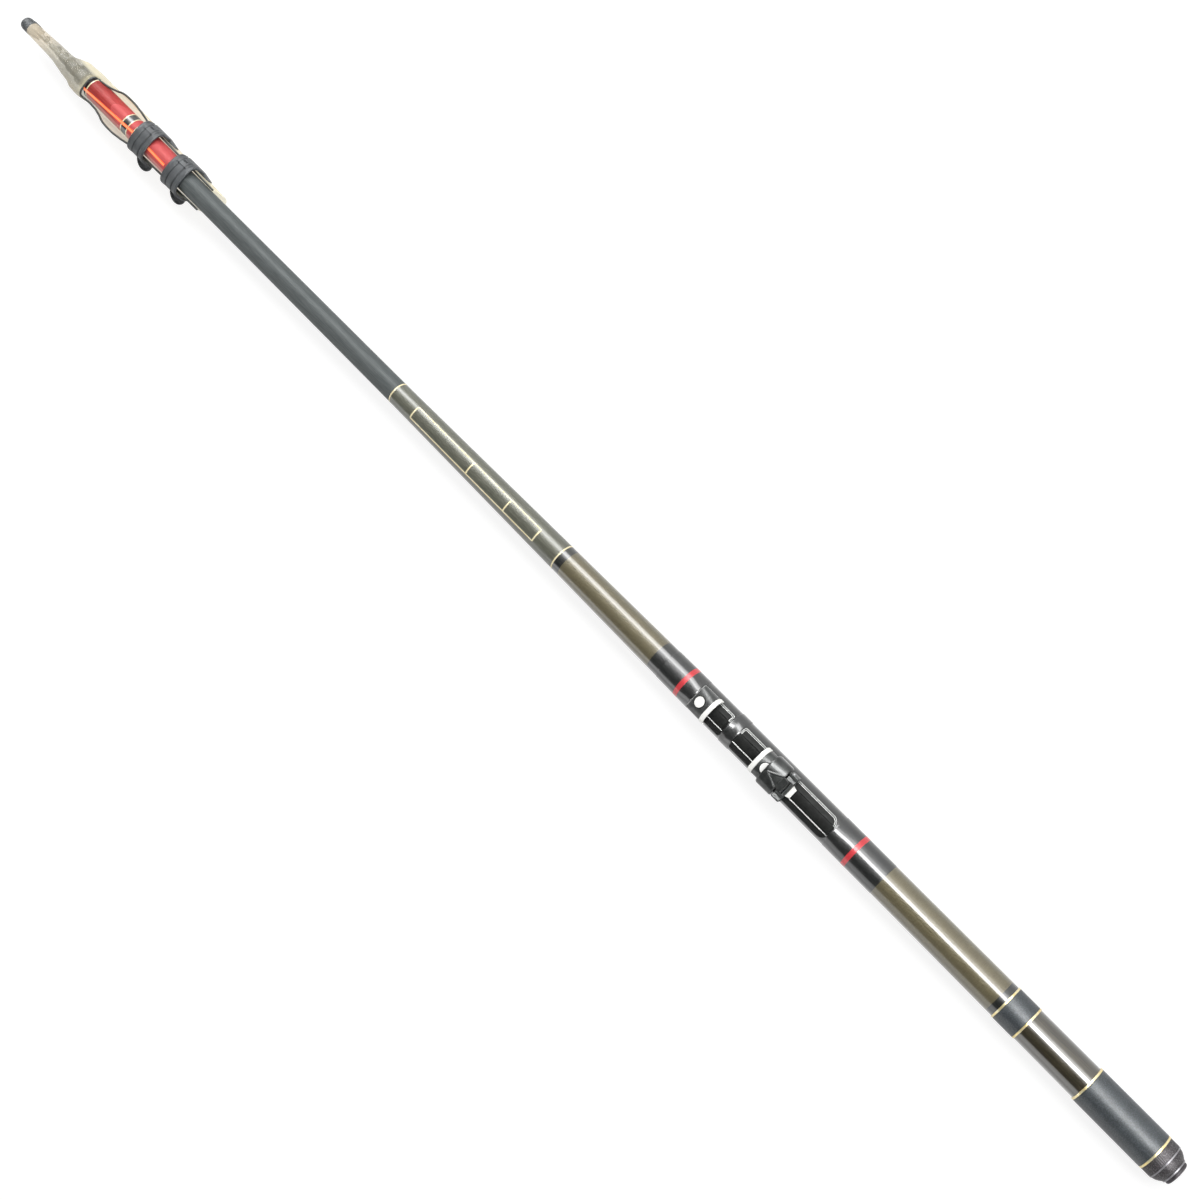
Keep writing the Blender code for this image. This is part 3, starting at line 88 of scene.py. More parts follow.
def butt_radius(x):
    for (x0, r0), (x1, r1) in zip(BUTT_TAPER, BUTT_TAPER[1:]):
        if x <= x1:
            return r0 + (r1 - r0) * (x - x0) / (x1 - x0)
    return r1


def smooth(share):
    share = min(1.0, max(0.0, share))
    return share * share * (3.0 - 2.0 * share)


def between(a, b, share):
    return a + (b - a) * share


def shares(steps):
    """The shares from 0 to 1 in even steps."""
    return [i / steps for i in range(steps + 1)]


def round_turn(steps):
    """The angles of a full turn in even steps."""
    return [tau * i / steps for i in range(steps)]


def signed_power(value, power):
    return copysign(abs(value) ** power, value)


# Materials. Colours are display values from 0 to 255.
EVEN = (1.0, 1.0, 1.0)
LENGTHWISE = (0.03, 1.0, 1.0)
LONGISH = (0.3, 1.0, 1.0)
WRAP_PITCH = 0.5
RINGS_PER_PITCH = 314.159


def rgb(red, green, blue):
    """The shader's linear colour for a display colour."""
    shares = (value / 255.0 for value in (red, green, blue))
    return (*(s / 12.92 if s <= 0.04045 else ((s + 0.055) / 1.055) ** 2.4 for s in shares), 1.0)


class Nodes:
    """A node tree, with short calls that add nodes to it."""

    def __init__(self, tree):
        self.tree = tree

    def feed(self, socket, value):
        if isinstance(value, bpy.types.NodeSocket):
            self.tree.links.new(value, socket)
        else:
            socket.default_value = value

    def make(self, kind, sockets=None, **settings):
        """A new node with its settings made and its sockets set or linked."""
        made = self.tree.nodes.new("ShaderNode" + kind)
        for setting, value in settings.items():
            setattr(made, setting, value)
        for socket, value in (sockets or {}).items():
            self.feed(made.inputs[socket], value)
        return made

    def math(self, operation, a, b=0.5):
        return self.make("Math", {0: a, 1: b}, operation=operation).outputs[0]

    def spread(self, value, low, high, low_at=0.3, high_at=0.7, **settings):
        """The value's range from low_at to high_at, stretched to run from low to high."""
        numbers = dict(enumerate((value, low_at, high_at, low, high)))
        return self.make("MapRange", numbers, **settings).outputs["Result"]

    def ramp(self, value, stops):
        made = self.make("ValToRGB", {"Fac": value})
        elements = made.color_ramp.elements
        while len(elements) < len(stops):
            elements.new(0.5)
        for element, (position, colour) in zip(elements, stops):
            element.position, element.color = position, colour
        return made.outputs["Color"]


class Look(Nodes):
    """A Principled material, found by its name, with its textures in the rod's own frame."""

    def __init__(self, name, **sockets):
        material = bpy.data.materials.new(name)
        material.use_nodes = True
        super().__init__(material.node_tree)
        self.place = self.make("TexCoord").outputs["Object"]
        for socket, value in sockets.items():
            self.set(socket.replace("_", " "), value)

    def set(self, socket, value):
        self.feed(self.tree.nodes["Principled BSDF"].inputs[socket], value)

    def axes(self):
        return self.make("SeparateXYZ", {0: self.place}).outputs

    def part_way(self, axis, low, high, low_at, high_at):
        """A spread over the place on one axis, between two distances in millimetres."""
        return self.spread(self.axes()[axis], low, high, low_at * MM, high_at * MM)

    def stretched(self, scale):
        return self.make("Mapping", {"Vector": self.place, "Scale": scale}).outputs["Vector"]

    def noise(self, scale, stretch=EVEN, detail=2.0, roughness=0.5):
        return self.make("TexNoise", {
            "Vector": self.stretched(stretch), "Scale": scale, "Detail": detail, "Roughness": roughness,
        }).outputs["Fac"]

    def mix(self, share, a, b):
        """From one colour to the other; each is a display colour or a socket."""
        a, b = (rgb(*colour) if isinstance(colour, tuple) else colour for colour in (a, b))
        return self.make("Mix", {0: share, 6: a, 7: b}, data_type="RGBA").outputs[2]

    def tints(self, value, stops):
        return self.ramp(value, [(at, rgb(*colour)) for at, colour in stops])

    def dress(self, colour, roughness, bump=None):
        """Sets the colour, the roughness (value, low, high) and a bump (height, depth, strength)."""
        self.set("Base Color", colour)
        self.set("Roughness", self.spread(*roughness))
        if bump:
            height, depth, strength = bump
            sockets = {"Distance": depth * MM, "Strength": strength, "Height": height}
            self.set("Normal", self.make("Bump", sockets).outputs["Normal"])


def tube_lacquer(name, dark, pale, roughness=0.35, coat=1.0, coat_roughness=0.03, coat_ior=1.7,
                 **sockets):
    """Clear-coated fibre: long fine streaks between two colours, under a faintly uneven coat."""
    look = Look(name, Coat_Weight=coat, Coat_Roughness=coat_roughness, Coat_IOR=coat_ior, **sockets)
    streaks = look.noise(2600.0, LENGTHWISE, 4.0)
    look.dress(look.mix(look.spread(streaks, 0.0, 1.0), dark, pale),
               (look.noise(900.0, LENGTHWISE), roughness - 0.06, roughness + 0.08),
               (look.noise(350.0, LONGISH), 0.02, 0.3))


def wound_thread(name, dark, pale, coat=1.0, **sockets):
    """Wound thread under lacquer: fine rings that differ a little from turn to turn."""
    look = Look(name, Coat_Weight=coat, Coat_Roughness=0.04, Coat_IOR=1.5, **sockets)
    rings = look.make("TexWave", {
        "Vector": look.place, "Scale": RINGS_PER_PITCH / WRAP_PITCH, "Distortion": 0.6,
        "Detail Scale": 2.0,
    }, wave_type="BANDS", bands_direction="X").outputs["Fac"]
    worn = look.noise(700.0, (4.0, 0.4, 0.4), 3.0)
    share = look.math("MULTIPLY", rings, look.spread(worn, 0.5, 1.0))
    look.dress(look.mix(share, dark, pale), (worn, 0.35, 0.5), (rings, 0.03, 0.5))


def satin_metal(name, dark, pale, roughness, metallic=1.0, coat=0.0, **sockets):
    """Worn metal or paint with fine lines along the rod."""
    look = Look(name, Metallic=metallic, Coat_Weight=coat, Coat_Roughness=0.1, **sockets)
    lines = look.noise(3500.0, (0.06, 1.0, 1.0), 3.0)
    wear = look.noise(260.0, detail=5.0)
    look.dress(look.mix(look.spread(wear, 0.0, 1.0, 0.4, 0.75), dark, pale),
               (lines, roughness - 0.05, roughness + 0.07), (lines, 0.008, 0.4))


def moulded_rubber(name, dark, pale, roughness=0.6):
    look = Look(name, Specular_IOR_Level=0.4)
    fine = look.noise(1800.0, detail=3.0)
    look.dress(look.mix(look.spread(look.noise(140.0, detail=4.0), 0.0, 1.0), dark, pale),
               (fine, roughness - 0.07, roughness + 0.1), (fine, 0.03, 0.6))


tube_lacquer("rear_gloss", (30, 26, 15), (60, 54, 36))
tube_lacquer("dark_gloss", (15, 16, 15), (34, 36, 34), coat_ior=1.5)
tube_lacquer("label_gloss", (76, 77, 66), (104, 105, 92), 0.4, 0.45, 0.2)
tube_lacquer("slate", (76, 81, 81), (101, 106, 106), 0.5, 0.06, 0.4, Specular_IOR_Level=0.16)
tube_lacquer("bore", (14, 14, 14), (30, 30, 30), 0.6, 0.0)
tube_lacquer("guide_ceramic", (16, 16, 18), (34, 34, 38), 0.15, 0.6)
tube_lacquer("section_carbon", (24, 25, 26), (44, 46, 47), 0.45, 0.2, 0.35)
tube_lacquer("cream_line", (236, 226, 176), (250, 242, 202))
# Pale orange of the alignment line's middle strip: a painted highlight that also glows through its
# emission as painted light.
tube_lacquer("pale_orange", (255, 150, 96), (255, 190, 140),
             Emission_Color=rgb(255, 140, 80), Emission_Strength=0.35)
wound_thread("olive_thread", (76, 69, 46), (124, 117, 90))
wound_thread("black_thread", (10, 11, 11), (34, 36, 35))
wound_thread("matt_thread", (20, 14, 16), (48, 38, 40), 0.0, Specular_IOR_Level=0.1)
wound_thread("red_thread", (200, 40, 50), (232, 74, 80), 0.5)
satin_metal("gilt_metal", (232, 210, 148), (255, 248, 214), 0.34, 0.55)
satin_metal("gilt_paint", (244, 228, 180), (255, 246, 214), 0.42, 0.05)
satin_metal("silver_metal", (196, 196, 198), (228, 228, 230), 0.28, 0.7)
# The white metal glows a little through its emission: painted light, though it is no lamp.
satin_metal("white_metal", (250, 250, 246), (254, 254, 250), 0.3, 0.05,
            Emission_Color=rgb(255, 255, 250), Emission_Strength=0.12)
# Pale lines on edges that face the key light on -Y: a painted highlight.
satin_metal("worn_edge", (206, 208, 206), (244, 245, 242), 0.35, 0.15)
satin_metal("dull_silver", (138, 136, 140), (176, 174, 178), 0.4, 0.4)
satin_metal("seat_anodised", (54, 56, 55), (78, 80, 79), 0.38, 0.2, 0.15)
satin_metal("lever_anodised", (42, 44, 43), (62, 64, 63), 0.32, 0.3, 0.3)
satin_metal("plate_anodised", (17, 18, 17), (32, 33, 32), 0.5, 0.0, Specular_IOR_Level=0.13)
satin_metal("guide_steel", (84, 86, 90), (136, 138, 142), 0.5)
moulded_rubber("strap_rubber", (66, 69, 71), (90, 93, 95), 0.5)
moulded_rubber("pad_rubber", (34, 36, 38), (58, 60, 62))
moulded_rubber("end_pad_rubber", (42, 39, 42), (64, 60, 63), 0.5)
moulded_rubber("piping_rubber", (44, 46, 44), (72, 74, 72), 0.5)

# Non-slip coating of the grips: a fine pebbled skin with paler specks on its high points.
look = Look("grip_skin", Specular_IOR_Level=0.5, Coat_Weight=0.18, Coat_Roughness=0.42)
pebbles = look.make("TexVoronoi", {"Vector": look.stretched(EVEN), "Scale": 1500.0}).outputs["Distance"]
base = look.mix(look.spread(look.noise(120.0, detail=4.0), 0.0, 1.0), (37, 41, 44), (51, 56, 59))
look.dress(look.mix(look.spread(pebbles, 0.0, 0.5, 0.35, 0.75), base, (84, 90, 94)),
           (look.noise(900.0), 0.4, 0.52), (pebbles, 0.05, 0.45))

# Speckled cast metal of the butt cap.
look = Look("cap_speckle", Metallic=0.5)
specks = look.noise(1500.0, detail=6.0, roughness=0.7)
look.dress(look.tints(specks, [(0.36, (30, 28, 29)), (0.55, (67, 64, 66)), (0.68, (137, 134, 136))]),
           (specks, 0.34, 0.6), (specks, 0.05, 0.6))

# Bright orange of the alignment line, with a painted glow from its emission.
look = Look("alignment_orange", Emission_Color=rgb(255, 90, 40), Emission_Strength=0.35)
streaks = look.noise(1600.0, LENGTHWISE)
look.dress(look.mix(look.spread(streaks, 0.0, 1.0), (255, 96, 48), (255, 128, 72)),
           (streaks, 0.35, 0.5))

# Red lacquer of the mouth, paler in a pointed field; a pale band lower on the +Y side is a painted
# reflection. Both lie at angles from overhead to -Y.
POINT_FROM, POINT_REACH = 1041.0, 16.0
POINT_ANGLE, POINT_HALF = radians(16.0), radians(62.0)
REFLECTION_BAND_ANGLES = (radians(-34.0), radians(-46.0))
look = Look("mouth_red", Specular_IOR_Level=0.3, Coat_Weight=0.1, Coat_Roughness=0.3)
place = look.axes()
base = look.tints(look.part_way("X", 0.0, 1.0, wrap.rear + 0.25 * wrap.length, wrap.front), [
    (0.0, (188, 64, 70)), (0.45, (182, 48, 45)), (0.8, (150, 31, 27)), (1.0, (134, 27, 20)),
])
angle = look.math("ARCTAN2", look.math("MULTIPLY", place[1], -1.0), place[2])
off = look.math("ABSOLUTE", look.math("SUBTRACT", angle, POINT_ANGLE))
open_share = look.part_way("X", 0.0, 1.0, POINT_FROM, POINT_FROM - POINT_REACH)
half = look.math("MULTIPLY", look.math("POWER", open_share, 0.5), POINT_HALF)
inside = look.spread(look.math("SUBTRACT", half, off), 0.0, 1.0, -0.03, 0.03)
paler = look.mix(inside, base, (198, 74, 75))
# Painted reflection: the lacquer turns pale past these angles on the +Y side.
paler = look.mix(look.spread(angle, 0.0, 0.75, *REFLECTION_BAND_ANGLES), paler, (236, 168, 162))
streaks = look.spread(look.noise(2200.0, LENGTHWISE, 3.0), 0.0, 0.22)
look.dress(look.mix(streaks, paler, (222, 122, 118)), (look.noise(600.0), 0.46, 0.6),
           (look.noise(300.0, LONGISH), 0.02, 0.3))

# Clear vinyl film with a beige tint by station, cloudy in places, and darker over the inner guides with
# painted shade of the tube's inside.
FILM_TINTS = [
    (1030.0, (252, 245, 216)), (1050.0, (248, 238, 202)), (1062.0, (243, 231, 186)),
    (1070.0, (238, 226, 182)), (1077.0, (142, 138, 122)), (1099.0, (134, 130, 115)),
    (1118.0, (158, 152, 135)), (1134.0, (222, 208, 184)), (1146.0, (230, 216, 192)),
]
tint_from, tint_to = FILM_TINTS[0][0], FILM_TINTS[-1][0]
# The film's faint emission is painted light.
look = Look("cover_film", IOR=1.3, Specular_IOR_Level=0.22, Emission_Strength=0.24)
clouds = look.noise(60.0, (0.4, 1.0, 1.0), 4.0)
tint = look.tints(look.part_way("X", 0.0, 1.0, tint_from, tint_to), [
    ((x - tint_from) / (tint_to - tint_from), colour) for x, colour in FILM_TINTS
])
# Paler on the -Y side that faces the key light and deeper towards +Y: painted light and painted shade.
tint = look.mix(look.part_way("Y", 0.0, 1.0, -6.6, -8.4), tint, (240, 229, 192))
tint = look.mix(look.part_way("Y", 0.0, 0.8, 6.0, 12.0), tint, (176, 162, 122))
tint = look.mix(look.spread(clouds, 0.0, 0.35), tint, (254, 250, 234))
look.dress(tint, (clouds, 0.32, 0.44), (look.noise(90.0, (0.15, 1.0, 1.0), 3.0), 0.06, 0.3))
# The film glows in its own tint: painted light.
look.set("Emission Color", tint)
look.set("Alpha", look.spread(clouds, 0.32, 0.44))

# Mesh builders. Edges sharper than these angles, in degrees, stay sharp.
FINE_EDGE, HARD_EDGE, SOFT_EDGE = 38.0, 50.0, 60.0
WELD = 1e-7
SIDES = 96
BEVEL_FROM, BEVEL_SEGMENTS = radians(28.0), 3


def add_piece(name, built, looks, body, replaced="", sharp=FINE_EDGE):
    """Adds a piece from its points, its faces and the number of each face's look."""
    points, faces, marks = built
    mesh = bpy.data.meshes.new(name)
    mesh.from_pydata([[c * MM for c in point] for point in points], [], faces)
    for look in looks.split():
        mesh.materials.append(bpy.data.materials[look])
    mesh.polygons.foreach_set("material_index", marks)
    bm = bmesh.new()
    bm.from_mesh(mesh)
    bmesh.ops.remove_doubles(bm, verts=bm.verts, dist=WELD)
    bmesh.ops.recalc_face_normals(bm, faces=bm.faces)
    bm.to_mesh(mesh)
    bm.free()
    mesh.shade_smooth()
    mesh.set_sharp_from_angle(angle=radians(sharp))
    obj = bpy.data.objects.new(name, mesh)
    bpy.context.collection.objects.link(obj)
    obj.matrix_world = ROD
    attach(obj, body)
    if replaced:
        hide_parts(replaced)
    return obj


def skin(loops, joined=False, row_looks=None):
    """Quads between closed loops of equal length, with flat ends or joined end to end."""
    count, rows = len(loops[0]), len(loops) - (not joined)
    row_looks = row_looks or [0] * rows
    faces, marks = [], []
    for i in range(rows):
        a, b = i * count, (i + 1) % len(loops) * count
        faces += [(a + j, a + (j + 1) % count, b + (j + 1) % count, b + j) for j in range(count)]
        marks += [row_looks[i]] * count
    if not joined:
        faces += [tuple(range(count)), tuple(range(rows * count, (rows + 1) * count))]
        marks += [row_looks[0], row_looks[-1]]
    return [point for loop in loops for point in loop], faces, marks


def gather(parts):
    """Several built shapes as one."""
    points, faces, marks = [], [], []
    for part_points, part_faces, part_marks in parts:
        start = len(points)
        points += part_points
        faces += [tuple(start + i for i in face) for face in part_faces]
        marks += part_marks
    return points, faces, marks


def ring_of(x, radius, sides=SIDES, centre=0.0, shape=None):
    """A circle round the rod, or round an axis at another height; a shape is added to its radius."""
    loop = []
    for angle in round_turn(sides):
        r = radius + (shape(x, angle) if shape else 0.0)
        loop.append((x, r * sin(angle), centre + r * cos(angle)))
    return loop


def turned(name, profile, looks, body, replaced="", bore=None, shape=None):
    """A profile of (x, radius, look number) turned about the rod; a bore makes it a tube."""
    rows = [mark for _, _, mark in profile[1:]]
    loops = [ring_of(x, r, shape=shape) for x, r, _ in profile]
    if bore is not None:
        inner = bore if isinstance(bore, list) else [(profile[-1][0], bore), (profile[0][0], bore)]
        loops += [ring_of(x, r) for x, r in inner]
        rows += [rows[-1]] + [len(looks.split()) - 1] * (len(inner) - 1) + [rows[0]]
    add_piece(name, skin(loops, bore is not None, rows), looks, body, replaced)


def eased_band(rear, front, radius, edge, foot):
    """Profile of a band with rounded shoulders, down to a foot's radius."""
    turns = [radians(22.5 * i) for i in range(5)]
    edges = [(edge * (1.0 - cos(a)), radius - edge * (1.0 - sin(a)), 0) for a in turns]
    return ([(rear, foot, 0)] + [(rear + off, r, 0) for off, r, _ in edges]
            + [(front - off, r, 0) for off, r, _ in reversed(edges)] + [(front, foot, 0)])


def collar(name, rear, front, radius, edge, bore, look, body, replaced):
    """A band with rounded shoulders round the rod."""
    turned(name, eased_band(rear, front, radius, edge, bore), look, body, replaced, bore)


def wound(rear, front, radius_at, pitch, mark_at, rise=0.01):
    """Profile of wound thread: one low ridge per pitch."""
    turns = max(2, round((front - rear) / pitch))
    points = []
    for i in range(turns):
        for share, lift in ((0.0, 0.0), (0.3, 1.0), (0.7, 1.0)):
            x = rear + (front - rear) * (i + share) / turns
            points.append((x, radius_at(x) + rise * lift, mark_at(x)))
    return points + [(front, radius_at(front), mark_at(front))]


# Butt tube: the lacquered zones of the handle, the threaded ones, the label's zone and the slate.
THREAD_PITCH = 0.6
REAR_DARK_BAND, FRONT_DARK_BAND, DARK_BAND = 4.2, 8.8, 6.5
LABEL_REAR, LABEL_FRONT = 542.0, 713.0
LINE_WIDTH, LINE_RISE = 1.1, 0.07
PLAIN_STEP = 10.0
MOUTH_EDGE, MOUTH_CHAMFER = 0.4, 0.25
GRIP_SEAT = 0.4
LINE_EDGE, LINE_FOOT, LINE_BORE = 0.04, 0.1, 0.15
REAR_GLOSS, DARK_GLOSS, OLIVE, LABEL, SLATE = range(5)

ring_1, ring_2, ring_3, ring_4 = (span[f"trim_ring_{number}"] for number in (1, 2, 3, 4))
rear_threads = (ring_1.front + REAR_DARK_BAND, span["binding_rear"].rear)
front_threads = (span["binding_front"].front + FRONT_DARK_BAND, LABEL_REAR - DARK_BAND)
under_grip = butt_radius(blank.rear) - GRIP_SEAT


def plain(rear, front, mark):
    pieces = max(1, ceil((front - rear) / PLAIN_STEP))
    stations = [between(rear, front, share) for share in shares(pieces)]
    return [(x, butt_radius(x), mark) for x in stations]


def below_grip(rear, front):
    return [(rear, under_grip, DARK_GLOSS), (front, under_grip, DARK_GLOSS)]


blank_profile = below_grip(blank.rear, ring_3.middle)
blank_profile += plain(ring_3.middle, ring_2.middle, REAR_GLOSS)
blank_profile += below_grip(ring_2.middle, ring_1.middle)
blank_profile += plain(ring_1.middle, rear_threads[0], DARK_GLOSS)
blank_profile += wound(*rear_threads, butt_radius, THREAD_PITCH, lambda x: OLIVE)
blank_profile += plain(rear_threads[1], front_threads[0], DARK_GLOSS)
blank_profile += wound(*front_threads, butt_radius, THREAD_PITCH, lambda x: OLIVE)
blank_profile += plain(front_threads[1], LABEL_REAR, DARK_GLOSS)
blank_profile += plain(LABEL_REAR, LABEL_FRONT, LABEL)
blank_profile += plain(LABEL_FRONT, blank.front - MOUTH_EDGE, SLATE)
blank_profile += [(blank.front, butt_radius(blank.front) - MOUTH_CHAMFER, SLATE)]
WALLS = [(blank.front, 0.5), (KNEE, 0.92), (plate_front.front, 1.18), (blank.rear, 1.5)]
bore_profile = [(x, butt_radius(x) - wall) for x, wall in WALLS]
bore_profile.insert(1, (blank.front - MOUTH_EDGE, butt_radius(blank.front) - 0.65))
turned("blank", blank_profile, "rear_gloss dark_gloss olive_thread label_gloss slate bore",
       "butt", "butt_blank", bore_profile)


def line_ring(name, x, look="gilt_paint", width=LINE_WIDTH, radius=None):
    """A thin painted line round the tube, just proud of its lacquer."""
    rear, front = x - width / 2.0, x + width / 2.0
    base = butt_radius(x) if radius is None else radius
    profile = eased_band(rear, front, base + LINE_RISE, LINE_EDGE, base - LINE_FOOT)
    turned(name, profile, look, "butt", bore=base - LINE_BORE)


line_ring("label_line_rear", LABEL_REAR)
line_ring("label_line_front", LABEL_FRONT)

# Gilt trim rings and the coated grips between them.
RING_WIDTH, RING_BACK, BAND_EDGE = 1.25, 0.15, 0.3
GRIP_REACH_REAR, GRIP_REACH_FRONT, GRIP_SUNK = 0.7, 0.1, 0.05
for number, ring in enumerate((ring_1, ring_2, ring_3, ring_4), 1):
    collar(f"gilt_ring_{number}", ring.rear - RING_BACK, ring.rear + RING_WIDTH, ring.top, BAND_EDGE,
           under_grip, "gilt_metal", "butt", f"trim_ring_{number}")
for name, node in (("rear_grip_skin", "rear_grip"), ("front_grip_skin", "front_grip_band")):
    held = span[node]
    collar(name, held.rear - GRIP_REACH_REAR, held.front + GRIP_REACH_FRONT, held.top - GRIP_SUNK,
           BAND_EDGE, under_grip, "grip_skin", "butt", node)

# Butt cap: a knurled collar, silver lines, a tapered shoulder and the end pad.
KNURLS, KNURL_DEPTH, KNURL_STEPS, KNURL_TWIST = 60, 0.16, 16, 0.5
KNURL_MARGIN, KNURL_GAP, CAP_GAP = 0.5, 0.1, 0.3
CAP_LINE_EDGE, CAP_LINE_DEPTH = 0.2, 1.0
CAP_RADIUS, CAP_SIDES = 12.7, 360
RECESS_RADIUS, RECESS_DEPTH, SPIGOT_RADIUS = 9.9, 1.4, 8.8
SHOULDER_SWELL, SHOULDER_STEPS = 0.55, 12
trim_front, trim_rear = span["cap_trim_front"], span["cap_trim_rear"]
cap_front = ring_4.rear - CAP_GAP
knurl_rear = trim_front.front + KNURL_GAP


def knurled(x, angle):
    if not knurl_rear + KNURL_MARGIN < x < cap_front - KNURL_MARGIN:
        return 0.0
    turn = (x - knurl_rear) / (cap_front - knurl_rear) * KNURL_TWIST
    return -KNURL_DEPTH * abs(sin(KNURLS * angle / 2.0 + turn))


cap_profile = [(trim_rear.rear, trim_rear.top - 0.9), (trim_rear.front, trim_rear.top - 0.6)]
cap_profile += [(trim_rear.front + 0.1, trim_rear.top - 0.2)]
for share in shares(SHOULDER_STEPS):
    cap_profile.append((
        between(trim_rear.front + 0.2, trim_front.rear - 0.2, share),
        between(trim_rear.top, CAP_RADIUS - 0.4, share) + sin(pi * share) * SHOULDER_SWELL,
    ))
cap_profile += [(trim_front.rear, CAP_RADIUS - 0.7), (knurl_rear, CAP_RADIUS - 0.7)]
cap_profile += [(knurl_rear + 0.2, CAP_RADIUS - 0.1)]
cap_profile += [
    (between(knurl_rear + 0.45, cap_front - 0.45, share), CAP_RADIUS) for share in shares(KNURL_STEPS)
]
cap_profile += [(cap_front - 0.1, CAP_RADIUS - 0.1), (cap_front, CAP_RADIUS - 0.35)]
cap_inside = [(cap_front, RECESS_RADIUS), (cap_front - RECESS_DEPTH, RECESS_RADIUS)]
cap_inside += [(cap_front - RECESS_DEPTH, SPIGOT_RADIUS), (cap.front - 0.5, SPIGOT_RADIUS)]
cap_inside += [(cap.front, SPIGOT_RADIUS - 0.5)]
cap_loops = [ring_of(x, r, CAP_SIDES, shape=knurled) for x, r in cap_profile]
cap_loops += [ring_of(x, r, CAP_SIDES) for x, r in cap_inside]
add_piece("cap_shell", skin(cap_loops), "cap_speckle", "tail_cap", "tail_cap", HARD_EDGE)
for name, held in (("cap_line_rear", trim_rear), ("cap_line_front", trim_front)):
    collar(name, held.rear, held.front, held.top, CAP_LINE_EDGE, held.top - CAP_LINE_DEPTH,
           "dull_silver", "tail_cap", name.replace("line", "trim"))
PAD_PROFILE = [
    (0.0, 0.01), (0.0, 3.0), (0.05, 5.2), (0.35, 5.8), (0.05, 6.4), (0.1, 7.3), (0.35, 7.9),
    (0.9, 8.3), (1.4, 8.4), (1.8, 8.4), (2.1, 8.15), (2.4, 8.15),
]
turned("end_pad", [(x, r, 0) for x, r in PAD_PROFILE], "end_pad_rubber", "tail_cap",
       "cap_end_pad")

# Label frame: a gilt outline with two dividers along the seat line, left blank inside.
FRAME_STATIONS = (563.2, 593.4, 632.0, 690.9)
FRAME_HALF, FRAME_LINE = 5.1, 0.95
CROSS_HALF = 0.6 * FRAME_LINE
STRIP_SUNK = 0.12


def strip(x_from, x_to, side_from, side_to, radius_at, rise, columns, rows=1, drift=None):
    """A thin raised strip on a round surface, between two distances round from the top line."""
    loops = []
    for i in range(rows + 1):
        x = between(x_from, x_to, i / rows)
        base = radius_at(x)
        turn = drift(x) if drift else 0.0
        angles = [turn + between(side_from, side_to, j / columns) / base for j in range(columns + 1)]
        high = [(x, (base + rise) * sin(a), (base + rise) * cos(a)) for a in angles]
        deep = base - STRIP_SUNK
        loops.append(high + [(x, deep * sin(a), deep * cos(a)) for a in reversed(angles)])
    return skin(loops)


frame_strips = [
    strip(FRAME_STATIONS[0], FRAME_STATIONS[-1], side - FRAME_LINE / 2.0, side + FRAME_LINE / 2.0,
          butt_radius, LINE_RISE, 3, 16)
    for side in (-FRAME_HALF, FRAME_HALF)
] + [
    strip(x - CROSS_HALF, x + CROSS_HALF, -FRAME_HALF, FRAME_HALF, butt_radius, LINE_RISE, 16)
    for x in FRAME_STATIONS
]
add_piece("label_frame", gather(frame_strips), "gilt_paint", "butt")

# Thread wraps of the reel seat, swollen where they climb onto a plate's foot, with red bands.
RED_BAND = 3.5
FOOT_ANGLE = radians(62.0)
WRAP_EASE, WRAP_OVER, FOOT_EDGE = 1.2, 0.3, 0.5


def seat_wrap(name, node, rise, feet, red_at=inf):
    """A wrap; each foot has its station, the side that it points to, its reach and its height."""
    held = span[node]

    def radius_at(x):
        end = min(x - held.rear, held.front + WRAP_OVER - x)
        return butt_radius(x) + rise * smooth(0.25 + end / WRAP_EASE)

    def swollen(x, angle):
        lift = 0.0
        for foot, away, reach, height in feet:
            if (x - foot) * away >= 0.0 or abs(x - foot) < FOOT_EDGE:
                lift = max(lift, height * smooth(1.0 - abs(x - foot) / reach))
        return lift * smooth(1.0 - abs((angle + pi) % tau - pi) / FOOT_ANGLE)

    profile = wound(held.rear, held.front + 0.25, radius_at, WRAP_PITCH,
                    lambda x: int(abs(x - red_at) < RED_BAND / 2.0))
    turned(name, profile, "black_thread red_thread", "butt", node,
           butt_radius(held.front) - 0.4, swollen)


seat_wrap("rear_wrap", "binding_rear", 0.2, [(plate_rear.rear, -1.0, 14.0, 0.85)], 266.0)
seat_wrap("saddle_wrap", "binding_middle", 0.35,
          [(plate_rear.front, 1.0, 5.0, 0.8), (plate_front.rear, -1.0, 4.0, 0.8)])
seat_wrap("front_wrap", "binding_front", 0.2, [(plate_front.front, 1.0, 11.0, 1.3)], 420.0)

# Reel seat plates: a flat bed with a channel, sloping sides and a raised lip all round.
PLATE_HALF, PLATE_FLAT, PLATE_DROP = plate_rear.right, 4.0, 3.2
PLATE_BED = plate_rear.top - 0.65
CHANNEL_HALF, CHANNEL_DEPTH = 3.8, 0.25
PLATE_SOFTNESS = 1.6
LIP_RISE, LIP_INSIDE, LIP_FADE = 0.35, 0.75, 0.35
EDGE_DROP, EDGE_FADE = 0.35, 0.4
# Painted highlight lines lie on the lip on the -Y side, up to the first depth and between the other two,
# and along the channel's +Y edge.
LIP_LINES, CHANNEL_LINE = (0.45, 0.95, 1.35), 0.25
PLATE_STEP, PLATE_COLUMNS, UNDER_COLUMNS = 0.45, 80, 16


def plate_height(y):
    over = abs(y) - PLATE_FLAT
    soft = 0.5 * (over + hypot(over, PLATE_SOFTNESS))
    channel = CHANNEL_DEPTH * smooth((CHANNEL_HALF - abs(y)) / EDGE_FADE + 0.5)
    return plate_rear.top - channel - PLATE_DROP * soft / (PLATE_HALF - PLATE_FLAT)


